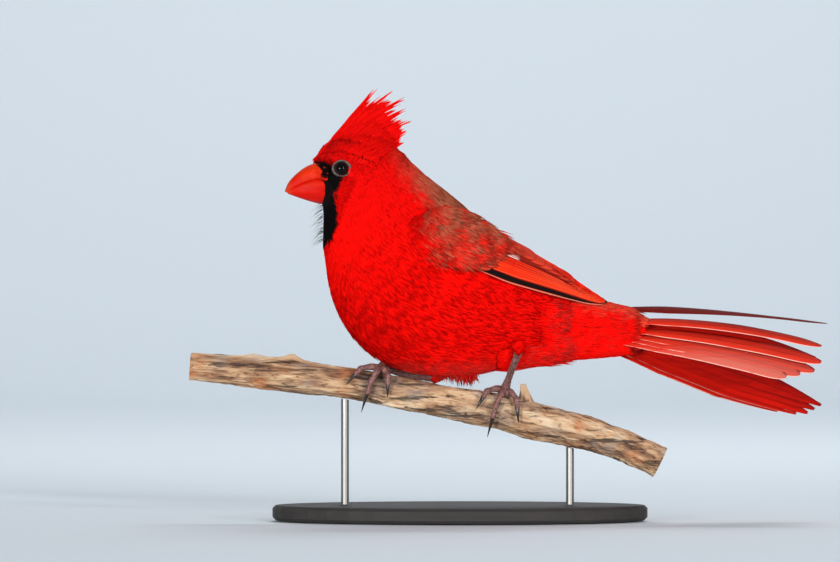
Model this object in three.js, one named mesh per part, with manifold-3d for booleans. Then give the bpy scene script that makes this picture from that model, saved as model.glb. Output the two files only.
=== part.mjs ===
// A male northern cardinal as a life-size museum model. It grips a short cut length of branch,
// which two thin rods hold over a flat oval base.
// Millimetres. +X runs from the bill to the tail, -Y is the bird's left side, +Z is up, and the
// origin is the centre of the base's underside.
import * as THREE from "three";
import { mergeVertices } from "three/addons/utils/BufferGeometryUtils.js";
import Module from "manifold-3d";

const wasm = await Module();
wasm.setup();

// Fits
const GAP = 0.3; // between two nodes that touch
const SUNK = 0.6; // how deep a joined piece goes into the one that it grows from
const FINE = [0.08, 0.07, 0.09, 0.06, 0.05, 0.04, 0.03]; // edges are merged where the surface stays this close
const MERGED = 1e-3; // vertices closer than this are one
const ROUNDED = 1e4; // places to the mm that a rounded mesh tells apart

// Bird, stations from the bill to the tail. Each is a slanted oval: its highest and lowest point in
// the bird's middle plane, and half its breadth.
const BODY = [
  { top: [-58.6, 143.0], under: [-55.8, 127.0], half: 3.4 },
  { top: [-53.6, 148.0], under: [-55.2, 122.6], half: 7.2 },
  { top: [-47.6, 152.4], under: [-55.4, 117.2], half: 11.2 },
  { top: [-40.6, 154.6], under: [-55.6, 111.0], half: 13.0 },
  { top: [-32.8, 153.8], under: [-55.0, 104.6], half: 13.8 },
  { top: [-25.8, 150.2], under: [-54.2, 97.8], half: 15.2 },
  { top: [-20.0, 145.2], under: [-52.8, 91.0], half: 17.6 },
  { top: [-14.4, 140.2], under: [-50.4, 84.0], half: 20.2 },
  { top: [-8.0, 135.2], under: [-46.4, 76.4], half: 22.8 },
  { top: [-1.6, 130.2], under: [-39.6, 68.2], half: 24.8 },
  { top: [5.6, 123.8], under: [-29.6, 61.4], half: 25.6 },
  { top: [13.6, 116.6], under: [-16.0, 57.4], half: 25.6 },
  { top: [22.4, 108.8], under: [-0.8, 56.4], half: 24.2 },
  { top: [31.2, 101.2], under: [14.4, 58.6], half: 21.6 },
  { top: [40.0, 94.4], under: [28.8, 61.8], half: 17.8 },
  { top: [48.0, 89.4], under: [40.4, 64.4], half: 13.8 },
  { top: [55.2, 86.2], under: [50.4, 65.6], half: 10.6 },
  { top: [62.4, 84.4], under: [59.6, 66.6], half: 8.4 },
  { top: [72.0, 82.2], under: [70.4, 68.6], half: 5.4 },
];
const BODY_SIDES = 28;
const EGG = 0.15; // how much narrower the oval's lower half is than its upper half
const STATION_STEPS = 2; // rings from one station to the next
const HEAD_END = 5; // the station where the head meets the neck
const NECK_END = 8;
const TORSO_END = 16;

const CREST_CORE = [
  { top: [-55.4, 146.6], under: [-53.0, 145.0], half: 3.0 },
  { top: [-47.8, 155.6], under: [-46.0, 144.0], half: 5.4 },
  { top: [-41.4, 162.6], under: [-39.2, 144.0], half: 5.4 },
  { top: [-35.8, 164.6], under: [-32.0, 144.0], half: 5.0 },
  { top: [-30.2, 161.6], under: [-27.0, 142.6], half: 4.6 },
  { top: [-25.4, 155.8], under: [-22.6, 140.4], half: 4.4 },
  { top: [-21.4, 149.4], under: [-19.6, 140.0], half: 3.4 },
];

const BILL_UPPER = [
  { top: [-54.6, 143.4], under: [-50.6, 132.6], half: 4.6 },
  { top: [-59.2, 142.4], under: [-55.0, 136.0], half: 4.8 },
  { top: [-62.8, 140.6], under: [-59.6, 135.6], half: 4.0 },
  { top: [-66.2, 137.8], under: [-63.4, 134.3], half: 2.9 },
  { top: [-68.7, 134.9], under: [-66.9, 132.7], half: 1.7 },
  { top: [-70.1, 131.5], under: [-69.5, 130.9], half: 0.4 },
];
const BILL_LOWER = [
  { top: [-50.2, 131.8], under: [-51.2, 126.6], half: 4.6 },
  { top: [-55.2, 135.6], under: [-55.6, 126.4], half: 4.7 },
  { top: [-59.6, 135.2], under: [-60.2, 127.5], half: 3.8 },
  { top: [-63.2, 133.9], under: [-64.2, 128.8], half: 2.7 },
  { top: [-66.5, 132.3], under: [-67.0, 129.8], half: 1.5 },
  { top: [-68.7, 130.9], under: [-68.8, 130.5], half: 0.4 },
];
const NOSTRIL = { at: [-58.6, 139.9], side: 4.3, size: [1.1, 0.9, 0.6] };

const EYE = { at: [-47.2, 140.4], radius: 3.7, opening: 3.1, lid: 0.55, proud: 1.25 };

// Crest: its feathers fan out from the crown, longest in front.
const CREST = {
  hub: [-44, 148],
  rows: [
    { side: 0, count: 10, root: 14, length: 1.0, width: 3.8 },
    { side: 1.9, count: 7, root: 12, length: 0.9, width: 4.4 },
    { side: -1.9, count: 7, root: 12, length: 0.9, width: 4.4 },
  ],
  frontAngle: 66,
  backAngle: 6,
  frontReach: 28.6,
  midReach: 31.0,
  backReach: 22,
  thick: 0.6,
};

// Wing: rows of vanes from the shoulder to the tip, given as seen from the side. Each row fills the
// space between its lower and its upper feather.
const WING = {
  thick: 0.6,
  seat: 1.6, // how deep under the wing's mean surface the pad's middle lies
  keel: 6.6, // the least distance of the folded wing from the bird's middle plane
  blend: 3,
  proud: 1.0, // the wing's mean surface over the body's
  rise: 3, // how much higher the wing reaches than the back under it
  pad: { from: [-17, 117], to: [50, 92], low: -6.6, high: 7.6, thick: 2 },
  rows: [
    { name: "primaries", steps: 3, count: 5, lift: [-0.6, 0.1], width: 5.6, bow: -0.6,
      root: [[4, 102.6], [14, 106]], tip: [[58.9, 86.9], [50, 91.0]] },
    { name: "secondaries", steps: 3, count: 6, lift: [0.1, 0.7], width: 5.4, bow: 0.6,
      root: [[9, 102.4], [16, 111.6]], tip: [[55.4, 88.3], [44.4, 94.6]] },
    { name: "tertials", steps: 3, count: 3, lift: [0.5, 1.2], width: 6.4, bow: 0.6,
      root: [[8, 112.6], [6, 115.8]], tip: [[39.6, 97.8], [30.6, 104.0]] },
    { name: "greater_coverts", steps: 2, count: 6, lift: [0.3, 1.2], width: 5.0, bow: 0.6,
      root: [[-5, 105.2], [4, 115]], tip: [[11.4, 99.9], [19.6, 109.6]] },
    { name: "median_coverts", steps: 2, count: 5, lift: [0.7, 1.7], width: 5.0, bow: 0.4,
      root: [[-13, 108.6], [-4, 119.6]], tip: [[-0.4, 103.9], [9.6, 114.6]] },
    { name: "lesser_coverts", steps: 2, count: 4, lift: [0.8, 2.0], width: 5.4, bow: 0.2,
      root: [[-18.6, 112.2], [-11, 122]], tip: [[-7.6, 107.4], [0.6, 118.4]] },
    { name: "scapulars", steps: 2, count: 4, lift: [0.7, 1.9], width: 7.4, bow: 0.6,
      root: [[-12, 120.8], [-6, 126.0]], tip: [[13.4, 112.8], [20.6, 109.8]] },
  ],
};

// Tail: each feather by its root, its tip, and the slope of its breadth. The left ones lie almost
// flat, and the right ones hang steeply, so that the camera sees their undersides.
const TAIL = {
  thick: 0.55,
  root: [57, 75.4],
  rootSpread: 5.6,
  camber: 0.5,
  left: {
    tips: [[147.2, -2, 78.0], [144.4, -7, 69.4], [144.0, -13, 63.4],
      [141.0, -18, 60.4], [135.0, -22.4, 59.6], [129.4, -26, 59.0]],
    slopes: [2, 16, 24, 26, 28, 30],
    widths: [9.5, 11, 11.5, 12, 12, 11],
    sag: [2.0, 3.6, 2.6, 2.2, 2.2, 2.0],
    rootRise: [8.4, 3.6, 1.2, 0, -1.2, -2.4],
  },
  right: {
    tips: [[142.6, 2.4, 64.4], [145.2, 8, 47.6], [142.8, 12, 46.0],
      [139.2, 15, 44.6], [134.0, 18, 44.8], [126.8, 20, 46.8]],
    slopes: [40, 52, 56, 58, 60, 62],
    widths: [10, 12, 12.5, 12.5, 12.5, 11.5],
    sag: [2.6, 1.6, 1.2, 1.0, 0.8, 0.6],
    rootRise: [3.0, 0, -1.4, -2.8, -4.2, -5.6],
  },
  coverts: { count: 4, width: 8, upper: [[52, 85.4], [79, 80.4]], under: [[50, 67.6], [72, 67.0]] },
};

// Legs: the hip end of each feathered thigh, the heel, and where the foot grips the branch: how far
// along, and its angle from the branch's top towards the camera.
const LEGS = {
  left: { hip: [20, -17.6, 76], heel: [23.6, -18.6, 68.4], grip: [16.2, 26],
    toeAt: [-5.4, -1.6, 3.4], lean: [-3.0, -1.4, 3.2], thigh: [5.6, 2.8],
    bend: [0, -0.8, 0.4] },
  right: { hip: [3, 8, 65], heel: [-10.2, 9.5, 56.8], grip: [-33.4, 4],
    toeAt: [-5.6, -1.6, 2.8], lean: [-4.4, -2.0, 1.6], thigh: [7.6, 3.6],
    bend: [0, 1.2, -1.4] },
};
const TARSUS = { radius: 1.25, heel: 1.75, ankle: 1.9, scutes: 8, scuteDepth: 0.16 };
const TOE = { radius: 1.45, tipRadius: 0.95, joints: 3, swell: 0.14 };
const CLAW = { radius: 0.8, tipRadius: 0.22, overlap: 3.6 }; // overlap: degrees between toe and claw
// The arc of each toe and its claw round the branch, in degrees from straight up towards the camera,
// and how far the claw's tip leaves the toe's own distance from the branch.
const TOE_ARCS = [
  { name: "inner", from: 14, to: 62, claw: 32, out: -0.9 },
  { name: "middle", from: 14, to: 106, claw: 44, out: 3.2 },
  { name: "outer", from: 14, to: 74, claw: 34, out: -0.9 },
  { name: "hind", from: 4, to: -94, claw: -40, out: -0.9 },
];

// Perch
const PERCH = {
  path: [[-108, 61.4], [-89, 60.0], [-70, 57.8], [-46, 54.8], [-22, 50.4], [-3, 46.6],
    [16, 43.4], [35, 38.8], [54, 33.4], [69, 28.2], [80, 22.8]],
  radius: [5.6, 6.2, 6.9, 6.4, 6.4, 6.8, 7.0, 7.2, 6.6, 6.4, 6.4],
  sides: 14,
  steps: 38,
  bark: 0.42,
  bumps: [
    { along: 0.21, round: 90, high: 1.7, wide: 0.014, arc: 34 },
    { along: 0.13, round: 80, high: 0.8, wide: 0.02, arc: 40 },
    { along: 0.40, round: 250, high: 0.8, wide: 0.03, arc: 50 },
    { along: 0.66, round: 262, high: 1.1, wide: 0.03, arc: 60 },
    { along: 0.78, round: 75, high: 0.9, wide: 0.05, arc: 50 },
  ],
  snag: { at: [26.2, 47.4], tip: [25.4, 54.6], radius: 3.4 },
};

// Stand
const BASE = { length: 150, depth: 84, height: 6, bevel: 1.2, segments: 40 };
const ROD = { radius: 1.6, at: [-46, 44], sides: 14 };

const COLOURS = {
  plumage: 0xc4120c,
  crest: 0xc8100c,
  wing: 0x9c2a1e,
  tail: 0xa8180f,
  bill: 0xe2411c,
  eye: 0x0a0707,
  leg: 0x5a4440,
  claw: 0x17120f,
  bark: 0x9b7a58,
  base: 0x2b2622,
  rod: 0x8c8a86,
};

// Small helpers
const RAD = Math.PI / 180;
const V = (x, y, z) => new THREE.Vector3(x, y, z);
const flat = ([x, z], y = 0) => V(x, y, z);
const mix = (a, b, t) => a + (b - a) * t;
const mix2 = (a, b, t) => [mix(a[0], b[0], t), mix(a[1], b[1], t)];

// A fixed random draw, from 0 to 1, for each number.
const draw = (n) => Math.abs((Math.sin(n * 12.9898 + 4.1) * 43758.5453) % 1);

// A number on the Catmull-Rom curve through a list, at t from 0 to the last index.
function along(list, t) {
  const last = list.length - 1;
  const i = Math.min(Math.floor(t), last - 1);
  const f = t - i;
  const p = (k) => list[Math.max(0, Math.min(last, k))];
  const [a, b, c, d] = [p(i - 1), p(i), p(i + 1), p(i + 2)];
  return b + 0.5 * f * (c - a + f * (2 * a - 5 * b + 4 * c - d + f * (3 * (b - c) + d - a)));
}

// The oval of a list of stations at t: centre, half height with its direction, and half breadth.
function oval(stations, t, grow = 0) {
  const at = (key, axis) => along(stations.map((s) => s[key][axis]), t);
  const top = V(at("top", 0), 0, at("top", 1));
  const under = V(at("under", 0), 0, at("under", 1));
  const up = top.clone().sub(under);
  const high = up.length() / 2;
  return {
    centre: top.add(under).multiplyScalar(0.5),
    up: up.normalize(),
    high: high + grow,
    half: along(stations.map((s) => s.half), t) + grow,
  };
}

// A closed solid from rings of points of one length, with a flat fan over each end.
function solidFromRings(rings) {
  const count = rings[0].length;
  const points = rings.flat();
  const faces = [];
  for (let i = 0; i < rings.length - 1; i++)
    for (let j = 0; j < count; j++) {
      const [a, b] = [i * count + j, i * count + ((j + 1) % count)];
      faces.push(a, b, a + count, b, b + count, a + count);
    }
  [0, rings.length - 1].forEach((i) => {
    const hub = points.length;
    points.push(rings[i].reduce((s, p) => s.add(p), V(0, 0, 0)).multiplyScalar(1 / count));
    for (let j = 0; j < count; j++) {
      const [a, b] = [i * count + j, i * count + ((j + 1) % count)];
      faces.push(...(i ? [hub, a, b] : [hub, b, a]));
    }
  });
  return solidOf(points, faces);
}

// A manifold solid from points and triangles, turned so that its faces point out.
function solidOf(points, faces) {
  const build = (tris) =>
    new wasm.Manifold(
      new wasm.Mesh({
        numProp: 3,
        vertProperties: new Float32Array(points.flatMap((p) => [p.x, p.y, p.z])),
        triVerts: new Uint32Array(tris),
      }),
    );
  const solid = build(faces);
  if (solid.volume() > 0) return solid;
  return build(faces.map((_, i) => faces[i - (i % 3) + (2 - (i % 3))]));
}

// A three.js geometry as a manifold solid.
function solidOfGeometry(geometry, tolerance = 1e-4) {
  geometry.deleteAttribute("normal");
  geometry.deleteAttribute("uv");
  const merged = mergeVertices(geometry, tolerance);
  const place = merged.attributes.position;
  const points = Array.from({ length: place.count }, (_, i) => V().fromBufferAttribute(place, i));
  return solidOf(points, [...merged.index.array]);
}

const joined = (solids) => solids.reduce((a, b) => a.add(b));
const largest = (solid) =>
  solid.decompose().reduce((a, b) => (b.volume() > a.volume() ? b : a));

// A loft of ovals through stations, from station a to station b.
function loft(stations, { a = 0, b = stations.length - 1, grow = 0, steps = STATION_STEPS,
  sides = BODY_SIDES, longer = 0, egg = EGG } = {}) {
  const rings = [];
  const count = Math.round((b - a) * steps);
  for (let i = 0; i <= count; i++) {
    const o = oval(stations, a + (i / count) * (b - a), grow);
    if (longer && (i === 0 || i === count)) {
      const next = oval(stations, i ? b - 0.5 : a + 0.5).centre;
      o.centre.add(o.centre.clone().sub(next).setLength(longer));
    }
    rings.push(
      Array.from({ length: sides }, (_, j) => {
        const turn = (j / sides) * 2 * Math.PI;
        return o.centre
          .clone()
          .addScaledVector(o.up, o.high * Math.cos(turn))
          .add(V(0, o.half * Math.sin(turn) * (1 + egg * Math.cos(turn)), 0));
      }),
    );
  }
  return solidFromRings(rings);
}

// A tube along a path, its radius a function of the share of its length and of the turn.
function tube(path, radius, steps, sides, upward = V(0, 0, 1)) {
  const rings = [];
  for (let i = 0; i <= steps; i++) {
    const u = i / steps;
    const [before, after] = [path(Math.max(0, u - 0.01)), path(Math.min(1, u + 0.01))];
    const way = after.sub(before).normalize();
    const side = way.clone().cross(upward).normalize();
    const up = side.clone().cross(way);
    rings.push(
      Array.from({ length: sides }, (_, j) => {
        const turn = (j / sides) * 2 * Math.PI;
        return path(u)
          .addScaledVector(up, radius(u, turn) * Math.sin(turn))
          .addScaledVector(side, radius(u, turn) * Math.cos(turn));
      }),
    );
  }
  return solidFromRings(rings);
}

// A feather vane on a surface: place(u, v) with u from root to tip and v from -1 to 1 across. Both
// faces are split into triangles alike. The outer face is a share of the thickness over the surface.
function vane(place, thick, steps = 4, across = [-1, 1], outer = 0.5) {
  const wide = across.length;
  const rows = steps + 1;
  const points = [];
  for (const side of [outer, outer - 1])
    for (let i = 0; i < rows; i++) {
      const u = i / steps;
      const deep = typeof thick === "function" ? thick(u) : thick;
      for (const v of across) {
        const d = 0.02;
        const du = place(Math.min(1, u + d), v).sub(place(Math.max(0, u - d), v));
        const dv = place(u, Math.min(1, v + d)).sub(place(u, Math.max(-1, v - d)));
        const normal = du.cross(dv).normalize();
        points.push(place(u, v).addScaledVector(normal, side * deep));
      }
    }
  const faces = [];
  const id = (s, i, j) => (s * rows + i) * wide + j;
  for (let i = 0; i < steps; i++)
    for (let j = 0; j < wide - 1; j++) {
      const [a, b, c, d] = [[i, j], [i, j + 1], [i + 1, j + 1], [i + 1, j]];
      const quad = [a, b, c, a, c, d];
      quad.forEach((p) => faces.push(id(0, ...p)));
      [...quad].reverse().forEach((p) => faces.push(id(1, ...p)));
    }
  const rim = [];
  for (let i = 0; i < steps; i++) rim.push([i, 0]);
  for (let j = 0; j < wide - 1; j++) rim.push([steps, j]);
  for (let i = steps; i > 0; i--) rim.push([i, wide - 1]);
  for (let j = wide - 1; j > 0; j--) rim.push([0, j]);
  rim.forEach((p, k) => {
    const q = rim[(k + 1) % rim.length];
    faces.push(id(0, ...p), id(0, ...q), id(1, ...q), id(0, ...p), id(1, ...q), id(1, ...p));
  });
  return solidOf(points, faces);
}

// How broad a vane is at u, as a share: narrow at the root, full in the middle, rounded at the tip.
const vaneShape = (u, tip = 0.35) =>
  Math.min(1, 0.35 + 2.2 * u) * (u < 0.75 ? 1 : mix(1, tip, ((u - 0.75) / 0.25) ** 2));

// True where a mesh is still closed once its vertices are rounded.
function closesRounded(mesh) {
  const n = mesh.numProp;
  const key = (v) =>
    [0, 1, 2].map((k) => Math.round(mesh.vertProperties[v * n + k] * ROUNDED)).join();
  const sides = new Map();
  for (let t = 0; t < mesh.triVerts.length; t += 3) {
    const [a, b, c] = [0, 1, 2].map((k) => key(mesh.triVerts[t + k]));
    if (a === b || b === c || c === a) continue;
    for (const [p, q] of [[a, b], [b, c], [c, a]])
      sides.set(`${p}|${q}`, (sides.get(`${p}|${q}`) ?? 0) + 1);
  }
  const back = (edge) => sides.get(edge.split("|").reverse().join("|"));
  return [...sides].every(([edge, count]) => count === 1 && back(edge) === 1);
}

// The largest closed surface of a solid, with the fewest edges that keep its form.
function tidied(solid) {
  for (const fine of FINE) {
    try {
      const merged = solidOfGeometry(geometryOf(largest(largest(solid).simplify(fine))), MERGED);
      if (merged.decompose().length === 1 && closesRounded(merged.getMesh())) return merged;
    } catch {
      continue; // merging its vertices opened this one
    }
  }
  return largest(solid);
}

function geometryOf(solid) {
  const made = solid.getMesh();
  const n = made.numProp;
  const place = new Float32Array(made.numVert * 3);
  for (let i = 0; i < made.numVert; i++)
    place.set(made.vertProperties.subarray(i * n, i * n + 3), i * 3);
  return new THREE.BufferGeometry()
    .setAttribute("position", new THREE.BufferAttribute(place, 3))
    .setIndex(new THREE.BufferAttribute(new Uint32Array(made.triVerts), 1));
}

// A mesh of one node.
const group = new THREE.Group();
function node(name, solid, colour, roughness = 0.7, metalness = 0) {
  const mesh = new THREE.Mesh(
    geometryOf(tidied(solid)),
    new THREE.MeshStandardMaterial({ color: colour, roughness, metalness }),
  );
  mesh.name = name;
  group.add(mesh);
  return solid;
}

// Body: one loft, parted by thin cuts
const fullBody = loft(BODY, { grow: GAP, longer: GAP });
const bill = {
  upper: loft(BILL_UPPER, { sides: 14, steps: 2, egg: 0 }),
  lower: loft(BILL_LOWER, { sides: 14, steps: 2, egg: 0 }),
};
const billRoom = joined([
  loft(BILL_UPPER, { sides: 14, steps: 2, egg: 0, grow: GAP, longer: GAP }),
  loft(BILL_LOWER, { sides: 14, steps: 2, egg: 0, grow: GAP, longer: GAP }),
]);

// Half the breadth of the body at a place in its middle plane, raised by rise at the back.
const STATION_RANGE = BODY.length - 1;
function breadth(x, z, proud, rise) {
  const offLine = (t) => {
    const o = oval(BODY, t);
    const away = V(x, 0, z).sub(o.centre);
    return { o, off: away.x * o.up.z - away.z * o.up.x, high: away.dot(o.up) };
  };
  let [low, high] = [0, STATION_RANGE];
  for (let i = 0; i < 24; i++) {
    const middle = (low + high) / 2;
    if (offLine(middle).off > 0) low = middle;
    else high = middle;
  }
  const { o, high: above } = offLine(low);
  const reach = o.high + (above > 0 ? rise : 0);
  const share = above / reach;
  if (share * share >= 1) return 0;
  return (o.half + proud) * Math.sqrt(1 - share * share) * (1 + EGG * share);
}

function makeHead() {
  let head = loft(BODY, { b: HEAD_END });
  head = head.subtract(billRoom);
  for (const side of [-1, 1]) {
    const room = eyeball(side, GAP);
    head = head.add(lids(side)).subtract(room);
  }
  node("head", head, COLOURS.plumage);
}

function eyeCentre(side) {
  const [x, z] = EYE.at;
  const surface = breadth(x, z, 0, 0);
  return V(x, side * (surface + EYE.proud - EYE.radius), z);
}

function eyeball(side, grow) {
  const c = eyeCentre(side);
  const ball = new THREE.SphereGeometry(EYE.radius + grow, 14, 10).translate(c.x, c.y, c.z);
  return solidOfGeometry(ball);
}

// The rim of bare skin round the eye, joined to the head.
function lids(side) {
  const c = eyeCentre(side);
  const out = Math.sqrt(EYE.radius ** 2 - EYE.opening ** 2);
  const ring = new THREE.TorusGeometry(EYE.opening + EYE.lid, EYE.lid * 1.5, 6, 16)
    .rotateX(Math.PI / 2)
    .translate(c.x, c.y + side * (out - 0.5), c.z);
  return solidOfGeometry(ring);
}

function makeBill() {
  const [x, z] = NOSTRIL.at;
  let upper = bill.upper;
  for (const side of [-1, 1]) {
    const pit = new THREE.SphereGeometry(1, 10, 8)
      .scale(...NOSTRIL.size)
      .translate(x, side * NOSTRIL.side, z);
    upper = upper.subtract(solidOfGeometry(pit));
  }
  const room = loft(BILL_UPPER, { sides: 14, steps: 2, egg: 0, grow: GAP });
  node("bill_upper", upper, COLOURS.bill, 0.4);
  node("bill_lower", bill.lower.subtract(room), COLOURS.bill, 0.4);
}

// A crest feather: a narrow pointed vane in a plane near the bird's middle plane.
function crestFeather(row, share, jitter) {
  const angle = mix(CREST.frontAngle, CREST.backAngle, share) * RAD;
  const reach = share < 0.3
    ? mix(CREST.frontReach, CREST.midReach, share / 0.3)
    : mix(CREST.midReach, CREST.backReach, (share - 0.3) / 0.7);
  const long = reach * row.length * (1 - 0.12 * jitter);
  const way = V(Math.cos(angle), 0, Math.sin(angle));
  const wide = V(-Math.sin(angle), 0, Math.cos(angle));
  const hub = flat(CREST.hub, row.side);
  const splay = -row.side * 0.5;
  return vane((u, v) => {
    const far = mix(long - row.root - 6, long, u);
    const narrow = mix(1, 0.16, u ** 2.6);
    return hub
      .clone()
      .addScaledVector(way, far)
      .addScaledVector(wide, (v * row.width * narrow) / 2 + 0.6 * u * u)
      .add(V(0, splay * u * u + 0.25 * (1 - v * v), 0));
  }, CREST.thick, 4, [-1, 0, 1]);
}

function makeCrest() {
  const feathers = CREST.rows.flatMap((row, r) =>
    Array.from({ length: row.count }, (_, i) => {
      const share = (i + 0.5 * (r % 2)) / (row.count - 0.5);
      return crestFeather(row, share, (i * 7 + r * 3) % 4);
    }),
  );
  const core = loft(CREST_CORE, { sides: 14, steps: 2 });
  const crest = joined([core, ...feathers]).subtract(fullBody);
  node("crest", crest, COLOURS.crest);
}

function makeBodyParts() {
  makeHead();
  const part = (name, a, b) => {
    const start = a + 0.02;
    node(name, loft(BODY, { a: start, b }), COLOURS.plumage);
  };
  part("neck", HEAD_END, NECK_END);
  part("torso", NECK_END, TORSO_END);
}

// The folded wing's surface, side-on place to distance from the middle plane.
function wingSide(x, z) {
  const over = breadth(x, z, WING.proud, WING.rise);
  const k = WING.blend;
  return k * Math.log(Math.exp(over / k) + Math.exp(WING.keel / k));
}

function onWing(side, x, z, lift) {
  const e = 0.4;
  const y = wingSide(x, z);
  const sx = (wingSide(x + e, z) - wingSide(x - e, z)) / (2 * e);
  const sz = (wingSide(x, z + e) - wingSide(x, z - e)) / (2 * e);
  const normal = V(-sx, 1, -sz).normalize();
  return V(x + normal.x * lift, side * (y + normal.y * lift), z + normal.z * lift);
}

function wingVane(side, row, share) {
  const root = mix2(...row.root, share);
  const tip = mix2(...row.tip, share);
  const way = new THREE.Vector2(tip[0] - root[0], tip[1] - root[1]);
  const wide = new THREE.Vector2(-way.y, way.x).normalize();
  const stack = 0.25 * share + 0.06 * draw(share * 17 + root[0]);
  return vane((u, v) => {
    const bow = row.bow * 4 * u * (1 - u);
    const out = (v * row.width * vaneShape(u)) / 2 + bow;
    const lift = mix(row.lift[0], row.lift[1], u) + stack - 0.14 * (v + 1);
    return onWing(side, root[0] + way.x * u + wide.x * out, root[1] + way.y * u + wide.y * out, lift);
  }, (u) => mix(row.lift[0] + stack + WING.seat, WING.thick, u * u), row.steps, [-1, 1], side < 0 ? 0 : 1);
}

// The left wing's solid; the right one is its mirror image.
function makeWing(side) {
  const { from, to, low, high, thick } = WING.pad;
  const way = new THREE.Vector2(to[0] - from[0], to[1] - from[1]);
  const wide = new THREE.Vector2(-way.y, way.x).normalize();
  const pad = vane((u, v) => {
    const lobe = Math.sin(Math.PI * Math.min(1, 0.12 + 0.8 * u)) ** 0.6;
    const out = (v > 0 ? v * high : -v * low) * lobe;
    return onWing(side, from[0] + way.x * u + wide.x * out, from[1] + way.y * u + wide.y * out,
      -WING.seat);
  }, thick, 7, [-1, -0.3, 0.4, 1]);
  const vanes = WING.rows.flatMap((row) =>
    Array.from({ length: row.count }, (_, i) => wingVane(side, row, i / (row.count - 1))),
  );
  return tidied(joined([pad, ...vanes]).subtract(fullBody));
}

function tailFeather(side, half, i) {
  const [x, y, z] = half.tips[i];
  const slope = half.slopes[i] * RAD;
  const root = V(TAIL.root[0], side * TAIL.rootSpread * ((i + 0.5) / 6), TAIL.root[1] + half.rootRise[i]);
  const tip = V(x, y, z);
  const wide = V(0, side * Math.cos(slope), -Math.sin(slope));
  const lift = V(0, side * Math.sin(slope), Math.cos(slope));
  return vane((u, v) => {
    const sag = half.sag[i] * 4 * u * (1 - u);
    const inner = v < 0 ? 1.25 : 0.75;
    const out = (v * inner * half.widths[i] * vaneShape(u, 0.3) * mix(0.45, 1, Math.min(1, u * 1.6))) / 2;
    return root
      .clone()
      .lerp(tip, u)
      .addScaledVector(wide, out)
      .addScaledVector(lift, TAIL.camber * (1 - v * v) - 0.42 * i)
      .add(V(0, 0, sag));
  }, TAIL.thick, 5, [-1, 0, 1]);
}

function makeTail() {
  const feathers = [];
  for (let i = 0; i < 6; i++) {
    feathers.push(tailFeather(-1, TAIL.left, i), tailFeather(1, TAIL.right, i));
  }
  const stub = loft(BODY, { a: TORSO_END + 0.06, b: BODY.length - 1, sides: 20 });
  const coverts = [];
  for (const [ends, sign] of [[TAIL.coverts.upper, 1], [TAIL.coverts.under, -1]])
    for (let i = 0; i < TAIL.coverts.count; i++) {
      const turn = mix(-52, 52, i / (TAIL.coverts.count - 1)) * RAD;
      const [a, b] = ends;
      const bend = sign * (Math.cos(turn) - 1);
      coverts.push(
        vane((u, v) => {
          const spread = turn + (v * TAIL.coverts.width * vaneShape(u)) / 2 / 9;
          const reach = mix(9, 5.5, u);
          return V(
            mix(a[0] + 4, b[0] + bend * 3 * sign, u),
            Math.sin(spread) * reach,
            mix(a[1], b[1], u) - sign * (1 - Math.cos(spread)) * reach - sign * SUNK * (1 - u),
          );
        }, TAIL.thick, 3),
      );
    }
  const cut = loft(BODY, { a: TORSO_END - 6, b: TORSO_END, grow: GAP, longer: 0 });
  node("tail", joined([stub, ...coverts, ...feathers]).subtract(cut), COLOURS.tail);
}

// Place on the perch's centre line, and its radius, at a share of its length.
const perchPath = (u) => {
  const t = u * (PERCH.path.length - 1);
  return V(along(PERCH.path.map((p) => p[0]), t), 0, along(PERCH.path.map((p) => p[1]), t));
};
const perchCore = (u) => along(PERCH.radius, u * (PERCH.path.length - 1));
function perchRadius(u, turn) {
  const bumps = PERCH.bumps.reduce((sum, b) => {
    const d = Math.abs(((turn / RAD - b.round + 540) % 360) - 180) / b.arc;
    return sum + b.high * Math.exp(-(((u - b.along) / b.wide) ** 2) - d * d);
  }, 0);
  const ridges = Math.sin(3 * turn + 9 * u) * 0.5 + Math.sin(5 * turn - 31 * u) * 0.5;
  return perchCore(u) + bumps + PERCH.bark * ridges;
}

function perchSolid(grow) {
  const body = tube(perchPath, (u, turn) => perchRadius(u, turn) + grow, PERCH.steps, PERCH.sides);
  const { at, tip, radius } = PERCH.snag;
  const snag = tube(
    (u) => flat(at).lerp(flat(tip), u),
    (u) => mix(radius, 0.9, u ** 0.7) + grow,
    3, 8, V(0, 1, 0),
  );
  return body.add(snag);
}

// The share of the perch's length where it passes x.
function perchShare(x) {
  let [low, high] = [0, 1];
  for (let i = 0; i < 24; i++) {
    const middle = (low + high) / 2;
    if (perchPath(middle).x < x) low = middle;
    else high = middle;
  }
  return low;
}

// A place near the perch: how far along it, at an angle from its top towards the camera, and how far
// from its centre line.
function roundPerch(x, degrees, away) {
  const u = perchShare(x);
  const way = perchPath(Math.min(1, u + 0.01)).sub(perchPath(Math.max(0, u - 0.01))).normalize();
  const up = V(-way.z, 0, way.x);
  return perchPath(u)
    .addScaledVector(up, Math.cos(degrees * RAD) * away)
    .add(V(0, -Math.sin(degrees * RAD) * away, 0));
}

const TOE_CLEAR = PERCH.bark + 0.9;

function toePath(leg, i, from, to, out) {
  const arc = TOE_ARCS[i];
  const shift = [leg.toeAt[0], leg.toeAt[1], leg.toeAt[2], 0.6][i];
  const lean = [leg.lean[0], leg.lean[1], leg.lean[2], 0][i];
  return (u) => {
    const share = (mix(from, to, u) - arc.from) / (arc.to - arc.from);
    const x = leg.grip[0] + shift * Math.min(1, share * 1.6) + lean * Math.max(0, share - 0.2);
    const knuckle = Math.sin(Math.PI * Math.min(1, Math.max(0, share))) * 0.8;
    const away = perchCore(perchShare(x)) + TOE.radius + TOE_CLEAR + knuckle + out * u * u;
    return roundPerch(x, mix(from, to, u), away);
  };
}

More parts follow.
